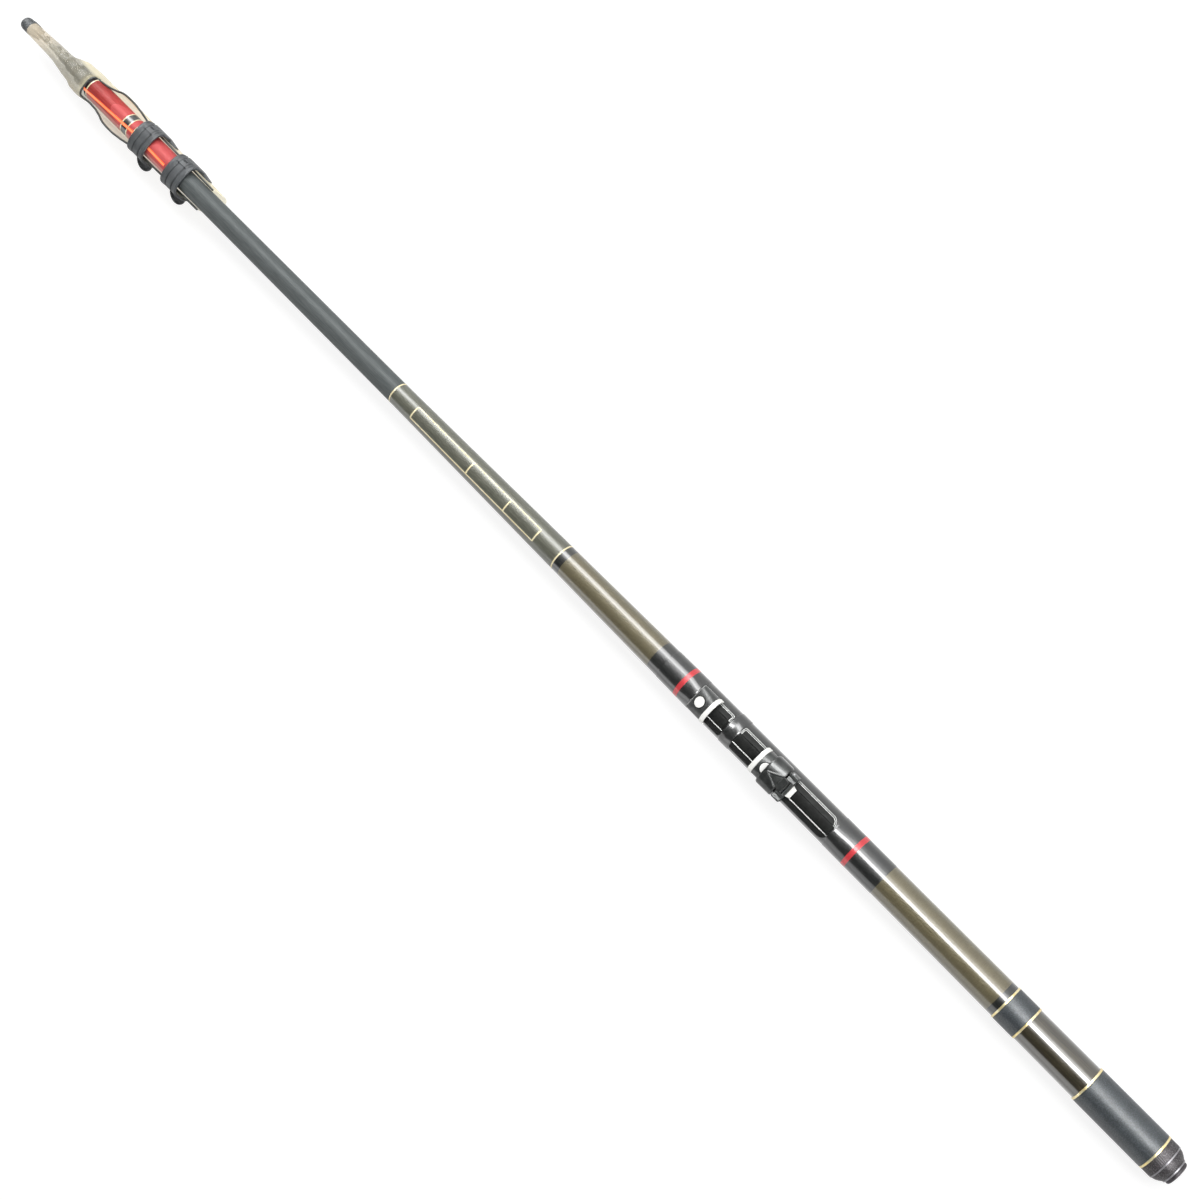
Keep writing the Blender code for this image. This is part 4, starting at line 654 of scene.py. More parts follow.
def lip(depth):
    """Height over the bed at a depth inside the outline."""
    edge = -EDGE_DROP * (1.0 - smooth(depth / EDGE_FADE))
    return edge + LIP_RISE * (1.0 - smooth((depth - LIP_INSIDE) / LIP_FADE))


def plate_depth(end, corner, y):
    """Depth inside the outline, from the distance to its end and the radius of its corners there."""
    side = PLATE_HALF - abs(y)
    if end < corner and side < corner:
        return corner - hypot(corner - end, corner - side)
    return min(end, side)


def seat_plate(name, node, rear_corner, front_corner):
    held = span[node]
    count = ceil(held.length / PLATE_STEP)
    stations = [held.rear + 0.04, held.rear + 0.15]
    stations += [held.rear + held.length * i / count for i in range(1, count)]
    stations += [held.front - 0.15, held.front - 0.04]

    def nearest_end(x):
        return min((x - held.rear, rear_corner), (held.front - x, front_corner))

    loops = []
    for x in stations:
        end, corner = nearest_end(x)
        cut = corner - sqrt(max(0.0, corner**2 - (corner - end) ** 2)) if end < corner else 0.0
        half = PLATE_HALF - cut
        upper = [half * (2.0 * share - 1.0) for share in shares(PLATE_COLUMNS)]
        lower = [half * (1.0 - 2.0 * share) for share in shares(UNDER_COLUMNS)]
        loops.append(
            [(x, y, plate_height(y) + lip(max(0.0, plate_depth(end, corner, y)))) for y in upper]
            + [(x, y, sqrt(PLATE_BED**2 - y * y) - 0.25) for y in lower]
        )
    points, faces, _ = skin(loops)

    def bright(face):
        x, y, z = (sum(points[i][axis] for i in face) / len(face) for axis in range(3))
        if z < plate_height(y) - 0.3 or len(face) > 4:
            return 0
        depth = plate_depth(*nearest_end(x), y)
        on_lip = depth < LIP_LINES[0] or LIP_LINES[1] < depth < LIP_LINES[2]
        return int(y < -CHANNEL_HALF and on_lip or abs(y - CHANNEL_HALF) < CHANNEL_LINE)

    add_piece(name, (points, faces, [bright(face) for face in faces]), "plate_anodised worn_edge",
              "butt", node, HARD_EDGE)


seat_plate("rear_plate", "seat_plate_rear", 5.5, 1.5)
seat_plate("front_plate", "seat_plate_front", 1.5, 1.5)

# Hoods, their rims and round inlays.
plate_edge = plate_rear.top - PLATE_DROP
HOOD_LOW, HOOD_SPRING = plate_edge - 1.6, plate_edge + 1.0
HOOD_INNER_HALF, HOOD_INNER_SPRING = PLATE_HALF + 0.35, plate_edge + 0.3
HOOD_HALF = 9.5
HOOD_CORNER = 3.2
CROWN_TOP = span["fixed_hood_rim"].top - 0.4
FIXED_DROP, SLIDE_DROP = 4.6, 3.4
FIXED_STEPS, SLIDING_STEPS = 24, 18
EDGE_WIDTH = 0.8
INLAY_RADIUS, INLAY_SIDES = 3.75, 64
fixed, sliding = span["fixed_hood"], span["slide_hood"]


def arch(half, low, spring, top, power=0.8, steps=48):
    """Points (y, z) of an arch from its +Y foot over the top to its -Y foot."""
    foot = [(half, low), (half, low + EDGE_WIDTH), (half, between(low, spring, 0.5))]
    crown = [
        (half * signed_power(cos(a), power), spring + (top - spring) * sin(a) ** power)
        for a in (pi * share for share in shares(steps))
    ]
    return foot + crown + [(-y, z) for y, z in reversed(foot)]


def band(x, outer, inner):
    return [(x, y, z) for y, z in outer + inner[::-1]]


def edge_marked(loops, front_rows=0):
    """Skin with look 1, a painted highlight, on the lowest strip of an arch's -Y side and on that side's
    front rows.
    """
    points, faces, _ = skin(loops)
    count = len(loops[0])
    foot = count // 2 - 2
    row = [int(j == foot) for j in range(count)]
    front = [int(foot // 4 < j <= foot) for j in range(count)]
    return points, faces, row * (len(loops) - 1 - front_rows) + front * front_rows + [0, 0]


def hood_loop(x, half, crown, wall):
    inner_top = max(crown - wall, plate_rear.top + 0.45)
    return band(x, arch(half, HOOD_LOW, HOOD_SPRING, crown),
                arch(HOOD_INNER_HALF, HOOD_LOW, HOOD_INNER_SPRING, inner_top))


def fixed_crown(x):
    return CROWN_TOP - FIXED_DROP * (x - fixed.rear) / fixed.length


def slide_crown(x):
    return CROWN_TOP - SLIDE_DROP * (sliding.front - x) / sliding.length


for name, node, body in (("fixed_rim", "fixed_hood_rim", "butt"),
                         ("sliding_rim", "slide_hood_rim", "slide_hood")):
    held = span[node]
    add_piece(name, skin([
        hood_loop(between(held.rear - 0.1, held.front + 0.1, share), held.right - tuck,
                  held.top - tuck, 1.0 - tuck)
        for share, tuck in ((0.0, 0.3), (0.04, 0.1), (0.12, 0.0), (0.88, 0.0), (0.96, 0.1), (1.0, 0.3))
    ]), "white_metal", body, node, HARD_EDGE)

loops = []
for share in shares(FIXED_STEPS):
    x = between(fixed.rear, fixed.front, smooth(share) * 0.4 + 0.6 * share)
    rest = max(0.0, HOOD_CORNER - (fixed.front - x))
    off = HOOD_CORNER - sqrt(max(0.0, HOOD_CORNER**2 - rest**2)) if rest else 0.0
    half = max(HOOD_HALF - 0.25 * off, HOOD_INNER_HALF + 0.3)
    loops.append(hood_loop(x, half, fixed_crown(x) - 0.3 * off, 1.2))
add_piece("fixed_hood_shell", edge_marked(loops, 1), "seat_anodised worn_edge", "butt",
          "fixed_hood", HARD_EDGE)
loops = []
for share in shares(SLIDING_STEPS):
    x = between(sliding.rear, sliding.front, share)
    loops.append(hood_loop(x, HOOD_HALF, slide_crown(x) - 0.5 * (1.0 - smooth(share / 0.08)), 1.0))
add_piece("sliding_hood_shell", edge_marked(loops), "seat_anodised worn_edge", "slide_hood",
          "slide_hood", HARD_EDGE)


def inlay(name, node, crown_at, body):
    """A domed disc in a dark surround, lying on a hood's sloping crown."""
    x = span[node].middle
    lean = Vector((1.0, 0.0, (crown_at(x + 1.0) - crown_at(x - 1.0)) / 2.0)).normalized()
    normal = Vector((-lean.z, 0.0, lean.x))
    centre = Vector((x, 0.0, crown_at(x)))
    rows = [
        (INLAY_RADIUS + 0.55, -0.5, 1), (INLAY_RADIUS + 0.55, 0.06, 1), (INLAY_RADIUS + 0.1, 0.14, 1),
        (INLAY_RADIUS, 0.12, 1), (INLAY_RADIUS, 0.34, 0), (INLAY_RADIUS - 0.15, 0.48, 0),
        (INLAY_RADIUS * 0.8, 0.54, 0), (INLAY_RADIUS * 0.4, 0.6, 0), (0.02, 0.62, 0),
    ]
    loops = [
        [centre + normal * high + lean * (radius * cos(a)) + across * (radius * sin(a))
         for a in round_turn(INLAY_SIDES)]
        for radius, high, _ in rows
    ]
    built = skin(loops, row_looks=[mark for _, _, mark in rows[1:]])
    add_piece(name, built, "white_metal plate_anodised", body, node, 30.0)


inlay("fixed_inlay", "fixed_hood_inlay", fixed_crown, "butt")
inlay("sliding_inlay", "slide_hood_inlay", slide_crown, "slide_hood")

# Locking lever over the sliding hood, with a sunk triangular facet that points to the tip.
lever, pin = span["lock_lever"], span["lever_pin"]
LEVER_REAR = sliding.rear - 0.7
LEVER_STEPS, LEVER_ARCH_STEPS = 64, 168
LEVER_GAP, LEVER_WALL = 1.0, 1.2
LEVER_ROUND, ROUND_REACH = 0.55, 1.1
LEVER_PULL, PULL_REACH = 1.3, 2.2
FACET_APEX, FACET_HALF, FACET_DEPTH, FACET_EASE = lever.front - 2.2, 5.0, 0.25, 0.5
RIB_HEIGHT, RIB_WIDTH = 0.38, 0.33


def facet_cut(x, y):
    if x > FACET_APEX:
        return 0.0
    inside = FACET_HALF * (FACET_APEX - x) / (FACET_APEX - LEVER_REAR) - abs(y)
    rib = RIB_HEIGHT * exp(-((inside / RIB_WIDTH) ** 2))
    return FACET_DEPTH * smooth(inside / FACET_EASE) * (inside > 0.0) - rib


loops = []
for share in shares(LEVER_STEPS):
    x = between(LEVER_REAR, lever.front, share)
    end = min(x - LEVER_REAR, lever.front - x)
    tuck = LEVER_ROUND * (1.0 - sin(pi / 2.0 * min(1.0, end / ROUND_REACH)))
    inner_top = slide_crown(x) + LEVER_GAP
    low = lever.low + LEVER_PULL * (1.0 - smooth(end / PULL_REACH))
    outside = arch(lever.right - tuck, low, HOOD_SPRING, inner_top + LEVER_WALL - tuck,
                   steps=LEVER_ARCH_STEPS)
    inside = arch(HOOD_HALF + 0.3, low, HOOD_SPRING, inner_top, steps=LEVER_ARCH_STEPS)
    outside = [(y, z - (facet_cut(x, y) if z > HOOD_SPRING + 2.0 else 0.0)) for y, z in outside]
    loops.append(band(x, outside, inside))
add_piece("lever_shell", edge_marked(loops), "lever_anodised worn_edge", "lock_lever",
          "lock_lever", HARD_EDGE)


def extruded(name, outline, direction, look, body, replaced="", bevel=0.3):
    """A flat outline extruded along a vector, its edges rounded."""
    count = len(outline)
    points = [Vector(p) for p in outline] + [Vector(p) + Vector(direction) for p in outline]
    faces = [tuple(range(count)), tuple(range(count, 2 * count))]
    faces += [(i, (i + 1) % count, count + (i + 1) % count, count + i) for i in range(count)]
    built = (points, faces, [0] * len(faces))
    obj = add_piece(name, built, look, body, replaced, SOFT_EDGE)
    rounding = obj.modifiers.new("Rounding", "BEVEL")
    rounding.width = bevel * MM
    rounding.segments = BEVEL_SEGMENTS
    rounding.limit_method = "ANGLE"
    rounding.angle_limit = BEVEL_FROM
    rounding.harden_normals = False


def round_pivot(y, radius, turns):
    """Points of a circle round the lever's pin."""
    return [(pivot_x + radius * cos(a), y, pivot_z + radius * sin(a)) for a in turns]


pivot_x, pivot_z = pin.middle, (pin.low + pin.top) / 2.0
TONGUE_HALF, KNUCKLE = 4.5, 1.9
tongue_top = slide_crown(sliding.rear) + 1.6
tongue = round_pivot(-TONGUE_HALF, KNUCKLE, [radians(a) for a in range(80, 331, 10)])
tongue += [(LEVER_REAR + 1.0, -TONGUE_HALF, tongue_top - down) for down in (1.1, 0.0)]
extruded("lever_tongue", tongue, (0.0, 2.0 * TONGUE_HALF, 0.0), "lever_anodised", "lock_lever")

# Cheeks either side of the lever's tongue, scooped towards the plate, and the release tab.
cheeks, tab = span["lever_cheeks"], span["lock_tab"]
CHEEK_INSIDE = TONGUE_HALF + 0.3
CHEEK_STEPS, SCOOP_STEPS = 16, 8
PIN_HEAD, PIN_SIDES = 0.95, 32


def cheek(name, side, replaced):
    loops = []
    for share in shares(CHEEK_STEPS):
        y = side * between(CHEEK_INSIDE, cheeks.right, share)
        rise = cheeks.top - 0.9 * sin(pi * min(1.0, share * 1.15)) ** 2
        if share > 0.8:
            rise -= 0.8 * ((share - 0.8) / 0.2) ** 2
        foot = plate_height(y) + 0.25
        rear = cheeks.rear + 0.4 * (1.0 - smooth((1.0 - share) / 0.2))
        front = cheeks.front - 0.3 * (1.0 - smooth((1.0 - share) / 0.15))
        scoop = [
            (between(rear + 0.35, front - 0.35, part), y,
             rise - 0.55 * sin(pi * part) * (1.0 - 0.5 * share))
            for part in shares(SCOOP_STEPS)[1:-1]
        ]
        loops.append(
            [(rear, y, foot), (rear, y, rise - 0.9), (rear + 0.35, y, rise - 0.2)] + scoop
            + [(front - 0.35, y, rise - 0.2), (front, y, rise - 0.9), (front, y, foot)]
        )
    add_piece(name, skin(loops), "seat_anodised", "slide_hood", replaced, 40.0)


cheek("cheek_left", 1.0, "lever_cheeks")
cheek("cheek_right", -1.0, "")
bar_rear, bar_front = cheeks.rear + 0.1, pivot_x - KNUCKLE - 0.3
bar_side, bar_low = -CHEEK_INSIDE - 0.3, plate_rear.top + 0.25
bar = [(bar_rear, bar_side, bar_low), (bar_front, bar_side, bar_low)]
bar += [(bar_front, bar_side, cheeks.top - 1.9), (bar_rear, bar_side, cheeks.top - 2.3)]
extruded("cheek_bar", bar, (0.0, -2.0 * bar_side, 0.0), "seat_anodised", "slide_hood")
for name, side, node in (("pin_head_right", -1.0, ""), ("pin_head_left", 1.0, "lever_pin")):
    head = round_pivot(side * (cheeks.right - 0.8), PIN_HEAD, round_turn(PIN_SIDES))
    extruded(name, head, (0.0, side * 0.9, 0.0), "silver_metal", "slide_hood", node, 0.2)
tab_low = plate_rear.top + 0.15
tab_corners = [(tab.front + 0.2, tab.left), (tab.front + 0.2, tab.right)]
tab_corners += [(tab.rear, tab.right * 0.74), (tab.rear, tab.left * 0.74)]
extruded("release_tab", [(x, y, tab_low) for x, y in tab_corners],
         (0.0, 0.0, tab.top - tab_low + 0.5), "white_metal", "slide_hood", "lock_tab", 0.35)

# Mouth wrap: red lacquer with a dark band between cream lines and a black whipping at the mouth.
WHIPPING = 3.3
DARK_FROM, DARK_TO = 1017.8, 1024.4
WRAP_LINES = (1011.4, DARK_FROM, DARK_TO, wrap.front - WHIPPING)
WRAP_SHOULDER, SHOULDER_REACH = 0.45, 1.5
RED, BLACK_THREAD, MATT_THREAD = range(3)


def wrap_radius(x):
    end = min(x - wrap.rear, wrap.front - x)
    return wrap.top - WRAP_SHOULDER * (1.0 - smooth(0.1 + end / SHOULDER_REACH))


wrap_profile = [(wrap.rear, butt_radius(wrap.rear), RED)]
wrap_profile += [(x, wrap_radius(x), RED) for x in (wrap.rear + 0.2 * i for i in range(1, 9))]
wrap_profile += [(x, wrap.top, RED) for x in (DARK_FROM - 20.0, DARK_FROM)]
wrap_profile += wound(DARK_FROM, DARK_TO, lambda x: wrap.top, WRAP_PITCH, lambda x: BLACK_THREAD)
wrap_profile += [(x, wrap.top, RED) for x in (DARK_TO + 20.0, wrap.front - WHIPPING)]
wrap_profile += wound(wrap.front - WHIPPING, wrap.front - 0.1, wrap_radius, WRAP_PITCH,
                      lambda x: MATT_THREAD)
turned("mouth_lacquer", wrap_profile, "mouth_red black_thread matt_thread", "butt",
       "mouth_wrap", butt_radius(wrap.front) - 0.1)
for number, x in enumerate(WRAP_LINES, 1):
    line_ring(f"mouth_line_{number}", x, "cream_line", 1.0, wrap.top)

# Alignment line: it lies beside the seat line and drifts further round at the mouth. Its paler middle
# strip is a painted highlight.
LINE_HALF = 1.15


def alignment(x):
    away = (x - WRAP_LINES[0]) / (wrap.front - WRAP_LINES[0])
    return radians(7.0 + (22.5 * away if away > 0.0 else -10.0 * away))


stripes = []
for a, b, rise, mark in ((-1.0, -0.5, 0.07, 0), (-0.5, 0.5, 0.1, 1), (0.5, 1.0, 0.07, 0)):
    points, faces, _ = strip(wrap.rear + 2.0, wrap.front - 0.2, LINE_HALF * a, LINE_HALF * b,
                             lambda x: wrap.top, rise, 3, 60, alignment)
    stripes.append((points, faces, [mark] * len(faces)))
add_piece("alignment_line", gather(stripes), "alignment_orange pale_orange", "butt")

# Tip cover: a thin film tube that opens into a trough under the rod.
film_node = span["cover_shell"]
cover_front = film_node.front + 1.2
cover_mouth, lip_from = 1072.9, 1072.2
FILM = 0.4
SIDE_STEPS, ROOF_STEPS = 22, 36
TROUGH_STEP, TUBE_STEP = 1.6, 1.3
SIDE_POWER = 4.6
# Station, half width at the edge, height of the edge, half width of the belly, depth, roof height.
COVER_KEYS = [
    (film_node.rear, 9.5, 0.0, 9.1, 23.5, 8.2), (1006.0, 10.5, 0.0, 10.5, 23.5, 8.2),
    (1010.5, 10.8, 0.0, 10.6, 23.5, 8.2), (1016.0, 12.0, 0.0, 10.9, 23.5, 8.2),
    (1023.0, 13.2, 0.0, 11.2, 23.5, 8.2), (1031.0, 14.1, 0.0, 11.2, 23.5, 8.2),
    (1038.0, 14.2, 0.0, 11.2, 23.5, 8.2), (1044.0, 13.7, 0.2, 11.2, 23.5, 8.2),
    (1051.0, 11.2, 0.9, 11.2, 23.5, 8.2), (1056.0, 9.9, 1.6, 11.2, 23.5, 8.2),
    (1062.0, 9.3, 2.0, 11.2, 23.5, 8.2), (lip_from, 9.2, 2.0, 11.2, 23.5, 8.2),
    (cover_mouth, 9.1, 2.0, 11.6, 23.4, 8.2), (1082.0, 8.8, 1.2, 12.2, 22.0, 8.3),
    (1092.0, 8.5, 0.4, 12.0, 20.0, 8.3), (1098.0, 8.1, 0.0, 10.0, 18.2, 8.0),
    (1104.6, 7.1, 0.0, 7.1, 16.0, 7.0), (1113.4, 6.0, 0.0, 6.0, 13.0, 5.9),
    (1129.2, 5.6, 0.0, 5.6, 11.0, 5.4), (cover_front, 5.3, 0.0, 5.3, 9.0, 5.3),
]
COVER_SWAY, SWAY_FROM, SWAY_REACH = 1.9, 1048.0, 37.0
NOSE_SWAY, NOSE_FROM, NOSE_REACH = 1.3, 1088.0, 40.0
# Height of the film's waves, their turn along the rod and their turn over the section.
SIDE_WAVE, ROOF_WAVE = (0.25, 0.15, 5.0), (0.18, 0.21, 9.0)
FLARE_DEPTH = 7.0
# Folds: place over the roof, drift to the nose, width, height, first and last station.
FOLDS = [
    (0.56, -0.1, 0.045, -0.6, 1074.0, 1142.0), (0.47, -0.1, 0.05, 0.35, 1074.0, 1142.0),
    (0.85, -0.5, 0.05, 0.55, 1084.0, 1118.0), (0.2, 0.15, 0.06, -0.45, 1080.0, 1126.0),
    (0.66, 0.0, 0.05, -0.4, 1096.0, 1143.0),
]
FOLD_FADE = 9.0


def cover_shape(x):
    """The section's measures at a station, eased between the key stations."""
    for (x0, *a), (x1, *b) in zip(COVER_KEYS, COVER_KEYS[1:]):
        if x <= x1:
            share = (x - x0) / (x1 - x0)
            share = 0.5 * share + 0.5 * smooth(share)
            return [between(p, q, share) for p, q in zip(a, b)]
    return COVER_KEYS[-1][1:]


def cover_sway(x):
    """The loose nose leans a little towards +Y."""
    onset = smooth((x - SWAY_FROM) / SWAY_REACH)
    return onset * between(COVER_SWAY, NOSE_SWAY, smooth((x - NOSE_FROM) / NOSE_REACH))


def wave(measures, x, share):
    height, forth, over = measures
    return height * sin(x * forth + over * share) * sin(pi * share)


def fold_lift(x, place):
    drift = (x - cover_mouth) / (cover_front - cover_mouth)
    lift = wave(ROOF_WAVE, x, place)
    for at, drifting, width, height, x_from, x_to in FOLDS:
        fade = smooth((x - x_from) / FOLD_FADE) * smooth((x_to - x) / FOLD_FADE)
        lift += height * fade * exp(-(((place - at - drifting * drift) / width) ** 2))
    return lift


def film_outline(x):
    """Points (y, z) round the film: down the +Y side, under, up the -Y side, then over the roof."""
    edge, high, belly, depth, roof = cover_shape(x)
    reach = high + depth
    side = []
    for i in range(SIDE_STEPS + 1):
        sunk = sin(pi / 2.0 * i / SIDE_STEPS)
        width = belly * (1.0 - sunk**SIDE_POWER) ** (1.0 / SIDE_POWER) if sunk < 1.0 else 0.0
        width += (edge - belly) * (1.0 - smooth(reach * sunk / FLARE_DEPTH))
        width += wave(SIDE_WAVE, x, sunk) if i < SIDE_STEPS else 0.0
        side.append((max(0.0, width), high - reach * sunk))
    upper = []
    for place in shares(ROOF_STEPS)[1:-1]:
        angle = pi * (1.0 - place)
        stretch = 1.0 + fold_lift(x, place) / roof
        upper.append((edge * cos(angle) * stretch, high + (roof - high) * sin(angle) * stretch))
    outline = side + [(-y, z) for y, z in reversed(side[:-1])] + upper
    return [(y + cover_sway(x), z) for y, z in outline]


def inset(points):
    """The closed outline, drawn in by the film's thickness."""
    moved = []
    for i, (y, z) in enumerate(points):
        (y0, z0), (y1, z1) = points[i - 1], points[(i + 1) % len(points)]
        size = hypot(y1 - y0, z1 - z0) or 1.0
        moved.append((y + (z1 - z0) / size * FILM, z - (y1 - y0) / size * FILM))
    return moved


def sheet(outside, inside, closed=False):
    """A thin body between two grids of points, both given as rows of equal length."""
    rows, count = len(outside), len(outside[0])
    second = rows * count
    faces = []
    columns = [(j, (j + 1) % count) for j in range(count if closed else count - 1)]
    for i in range(rows - 1):
        for j, k in columns:
            a, b, c, d = i * count + j, i * count + k, (i + 1) * count + k, (i + 1) * count + j
            faces += [(a, b, c, d), (second + d, second + c, second + b, second + a)]
    edges = [(i * count + j, i * count + k) for i in (0, rows - 1) for j, k in columns]
    if not closed:
        edges += [
            (i * count + j, (i + 1) * count + j) for i in range(rows - 1) for j in (0, count - 1)
        ]
    faces += [(a, b, second + b, second + a) for a, b in edges]
    return [point for row in outside + inside for point in row], faces, [0] * len(faces)


def even_stations(x_from, x_to, step):
    return [between(x_from, x_to, share) for share in shares(ceil((x_to - x_from) / step))]


def film_part(x_from, x_to, step, columns, closed):
    """A thin shell over the first columns of the film's outline."""
    outside, inside = [], []
    for x in even_stations(x_from, x_to, step):
        outline = film_outline(x)
        outside.append([(x, y, z) for y, z in outline[:columns]])
        inside.append([(x, y, z) for y, z in inset(outline)[:columns]])
    return sheet(outside, inside, closed)


def without_inner_walls(points, faces, marks):
    """Drops the end faces that the two parts share, so that the weld is open inside."""
    keys = [frozenset(tuple(round(c, 4) for c in points[i]) for i in face) for face in faces]
    seen = {}
    for key in keys:
        seen[key] = seen.get(key, 0) + 1
    kept = [i for i, key in enumerate(keys) if seen[key] == 1]
    return points, [faces[i] for i in kept], [marks[i] for i in kept]


film = gather([
    film_part(film_node.rear, lip_from, TROUGH_STEP, 2 * SIDE_STEPS + 1, False),
    film_part(lip_from, cover_front, TUBE_STEP, 2 * SIDE_STEPS + ROOF_STEPS, True),
])
add_piece("cover_film", without_inner_walls(*film), "cover_film", "tip_cover", "cover_shell",
          SOFT_EDGE)

# Piping: one cord along the trough's edges and over the mouth.
PIPING_RADIUS, PIPING_SIDES = 0.8, 14
PIPING_RISE, PIPING_STEP = 1.05, 1.2
EDGE_STEP, EDGE_TO = 3.0, 1064.0
MOUTH_STEPS, MOUTH_TOP, MOUTH_BACK, MOUTH_LEAN = 20, 7.6, 1.5, 2.0
ROUNDED_END = [(0.85, 0.45), (0.5, 0.85), (0.0, 1.0)]


def swept(points):
    """Loops of the round cord along points, its ends rounded over."""
    loops = []
    last = len(points) - 1
    side = Vector((0.0, 0.0, 1.0))
    for i, point in enumerate(points):
        forth = (points[min(i + 1, last)] - points[max(i - 1, 0)]).normalized()
        side = (side - forth * side.dot(forth)).normalized()
        other = forth.cross(side)
        sizes = [(0.0, 1.0)]
        if i == 0:
            sizes = [(-push, size) for push, size in ROUNDED_END]
        if i == last:
            sizes = ROUNDED_END[::-1]
        for push, size in sizes:
            loops.append([
                point + forth * (push * PIPING_RADIUS)
                + (side * cos(a) + other * sin(a)) * (PIPING_RADIUS * size)
                for a in round_turn(PIPING_SIDES)
            ])
    return loops


def smooth_route(points, step):
    """Points along a Catmull-Rom curve through the given ones."""
    dense = []
    for i in range(len(points) - 1):
        p0, p1, p2 = points[max(i - 1, 0)], points[i], points[i + 1]
        p3 = points[min(i + 2, len(points) - 1)]
        pieces = max(1, ceil((p2 - p1).length / step))
        for t in (n / pieces for n in range(pieces)):
            dense.append(0.5 * (
                2.0 * p1 + (p2 - p0) * t + (2.0 * p0 - 5.0 * p1 + 4.0 * p2 - p3) * t * t
                + (3.0 * p1 - p0 - 3.0 * p2 + p3) * t**3
            ))
    return dense + [points[-1]]


def edge_point(x, side):
    edge, high = cover_shape(x)[:2]
    return Vector((x, side * (edge - FILM / 2.0) + cover_sway(x), high + PIPING_RISE))


edge_stations = even_stations(film_node.rear, EDGE_TO, EDGE_STEP)
edge, high = cover_shape(cover_mouth)[:2]
over_mouth = []
for angle in (pi * share for share in shares(MOUTH_STEPS)):
    rise = sin(angle) ** 0.75
    over_mouth.append(Vector((
        cover_mouth - MOUTH_BACK - MOUTH_LEAN * (1.0 - rise),
        (edge - FILM / 2.0) * signed_power(cos(angle), 0.55) + cover_sway(cover_mouth),
        high + PIPING_RISE + (MOUTH_TOP - high - PIPING_RISE) * rise,
    )))
piping_route = [edge_point(x, 1.0) for x in edge_stations] + over_mouth
piping_route += [edge_point(x, -1.0) for x in reversed(edge_stations)]
add_piece("piping", skin(swept(smooth_route(piping_route, PIPING_STEP))), "piping_rubber", "tip_cover",
          "cover_piping", SOFT_EDGE)

# Rubber end cap in the nose of the film.
end_cap = span["cover_end_cap"]
nose = film_outline(cover_front)
nose_sway = cover_sway(cover_front)
NOSE_MIDDLE = -2.0
NOSE_ROUND, NOSE_STEPS = 3.2, 8
PLUG_GAP, PLUG_INSIDE = 0.15, -1.1
# Distance in front of the plug's face and draw of its rows: a rounded edge and a groove.
PLUG_ROWS = [(0.0, PLUG_INSIDE), (0.0, -0.2), (0.25, 0.0), (1.6, 0.0), (1.9, -0.22), (2.2, 0.0)]


def plug_loop(x, grow):
    """The nose's outline, drawn in or out by a distance towards its middle."""
    loop = []
    for y, z in ((y - nose_sway, z - NOSE_MIDDLE) for y, z in nose):
        scale = 1.0 + grow / hypot(y, z)
        loop.append((x, y * scale + nose_sway, z * scale + NOSE_MIDDLE))
    return loop


plug_face = cover_front + PLUG_GAP
plug = [plug_loop(end_cap.rear + 0.5, PLUG_INSIDE)]
plug += [plug_loop(plug_face + x, grow) for x, grow in PLUG_ROWS]
for angle in (pi / 2.0 * share for share in shares(NOSE_STEPS)):
    plug.append(plug_loop(end_cap.front - NOSE_ROUND * (1.0 - sin(angle)),
                          -0.1 - NOSE_ROUND * 0.8 * (1.0 - cos(angle))))
add_piece("nose_plug", skin(plug), "strap_rubber", "tip_cover", "cover_end_cap",
          HARD_EDGE)

# Straps: a grooved rubber band over the rod, with a slotted pad at its root and a pull tab.
STRAP_INNER, STRAP_THICK = 11.5, 1.6
STRAP_LOW, STRAP_ROOT, STRAP_SPRING = -6.4, -1.6, 1.4
ROOT_SPREAD, LEG_SLANT = 4.0, 3.2
WIDTH_STEPS = 60
GROOVE, GROOVE_HALF, GROOVES_AT = 0.6, 0.8, (0.28, 0.66)
SLOT_AT, SLOT_HALF, SLOT_DEPTH, SLOT_EASE = 9.3, 1.9, 1.1, 0.4
BEAD_RISE, BEAD_WIDTH, BEAD_EASE = 0.35, 1.9, 0.5
STRAP_ROUND, STRAP_ROUND_REACH, STRAP_GAP = 0.55, 0.7, 0.3
PAD_HALF, PAD_RISE, PAD_SHARE, PAD_EASE = 4.6, 0.45, 0.34, 0.8
TAB_REACH, TAB_LEAN = 7.8, radians(62.0)
TAB_STEPS, ANCHOR_STEPS = 40, 24
# Scale and height of the pull tab's rows, from under it over its rim to its hollow.
TAB_ROWS = [
    (0.3, 0.0), (0.94, 0.0), (0.985, 0.25), (1.0, 0.8), (0.985, 1.45), (0.94, 1.75), (0.88, 1.75),
    (0.82, 1.3), (0.76, 1.0), (0.5, 0.95), (0.2, 0.95),
]


def strap_path(half, top):
    """Points (y, z) from the foot of the +Y leg over the rod to the -Y root."""
    leg = [between(STRAP_LOW, STRAP_SPRING, i / 12) for i in range(12)]
    return (
        [(half - 0.9 * (1.0 - smooth((z - STRAP_LOW) / 5.0)), z) for z in leg]
        + arch(half, 0.0, STRAP_SPRING, top, 0.85, 84)[3:-3]
        + [(-half, between(STRAP_SPRING, STRAP_ROOT, i / 6)) for i in range(1, 7)]
    )


strap_outer = strap_path(STRAP_INNER + STRAP_THICK, wrap.top + STRAP_GAP + STRAP_THICK)
strap_inner = strap_path(STRAP_INNER, wrap.top + STRAP_GAP)


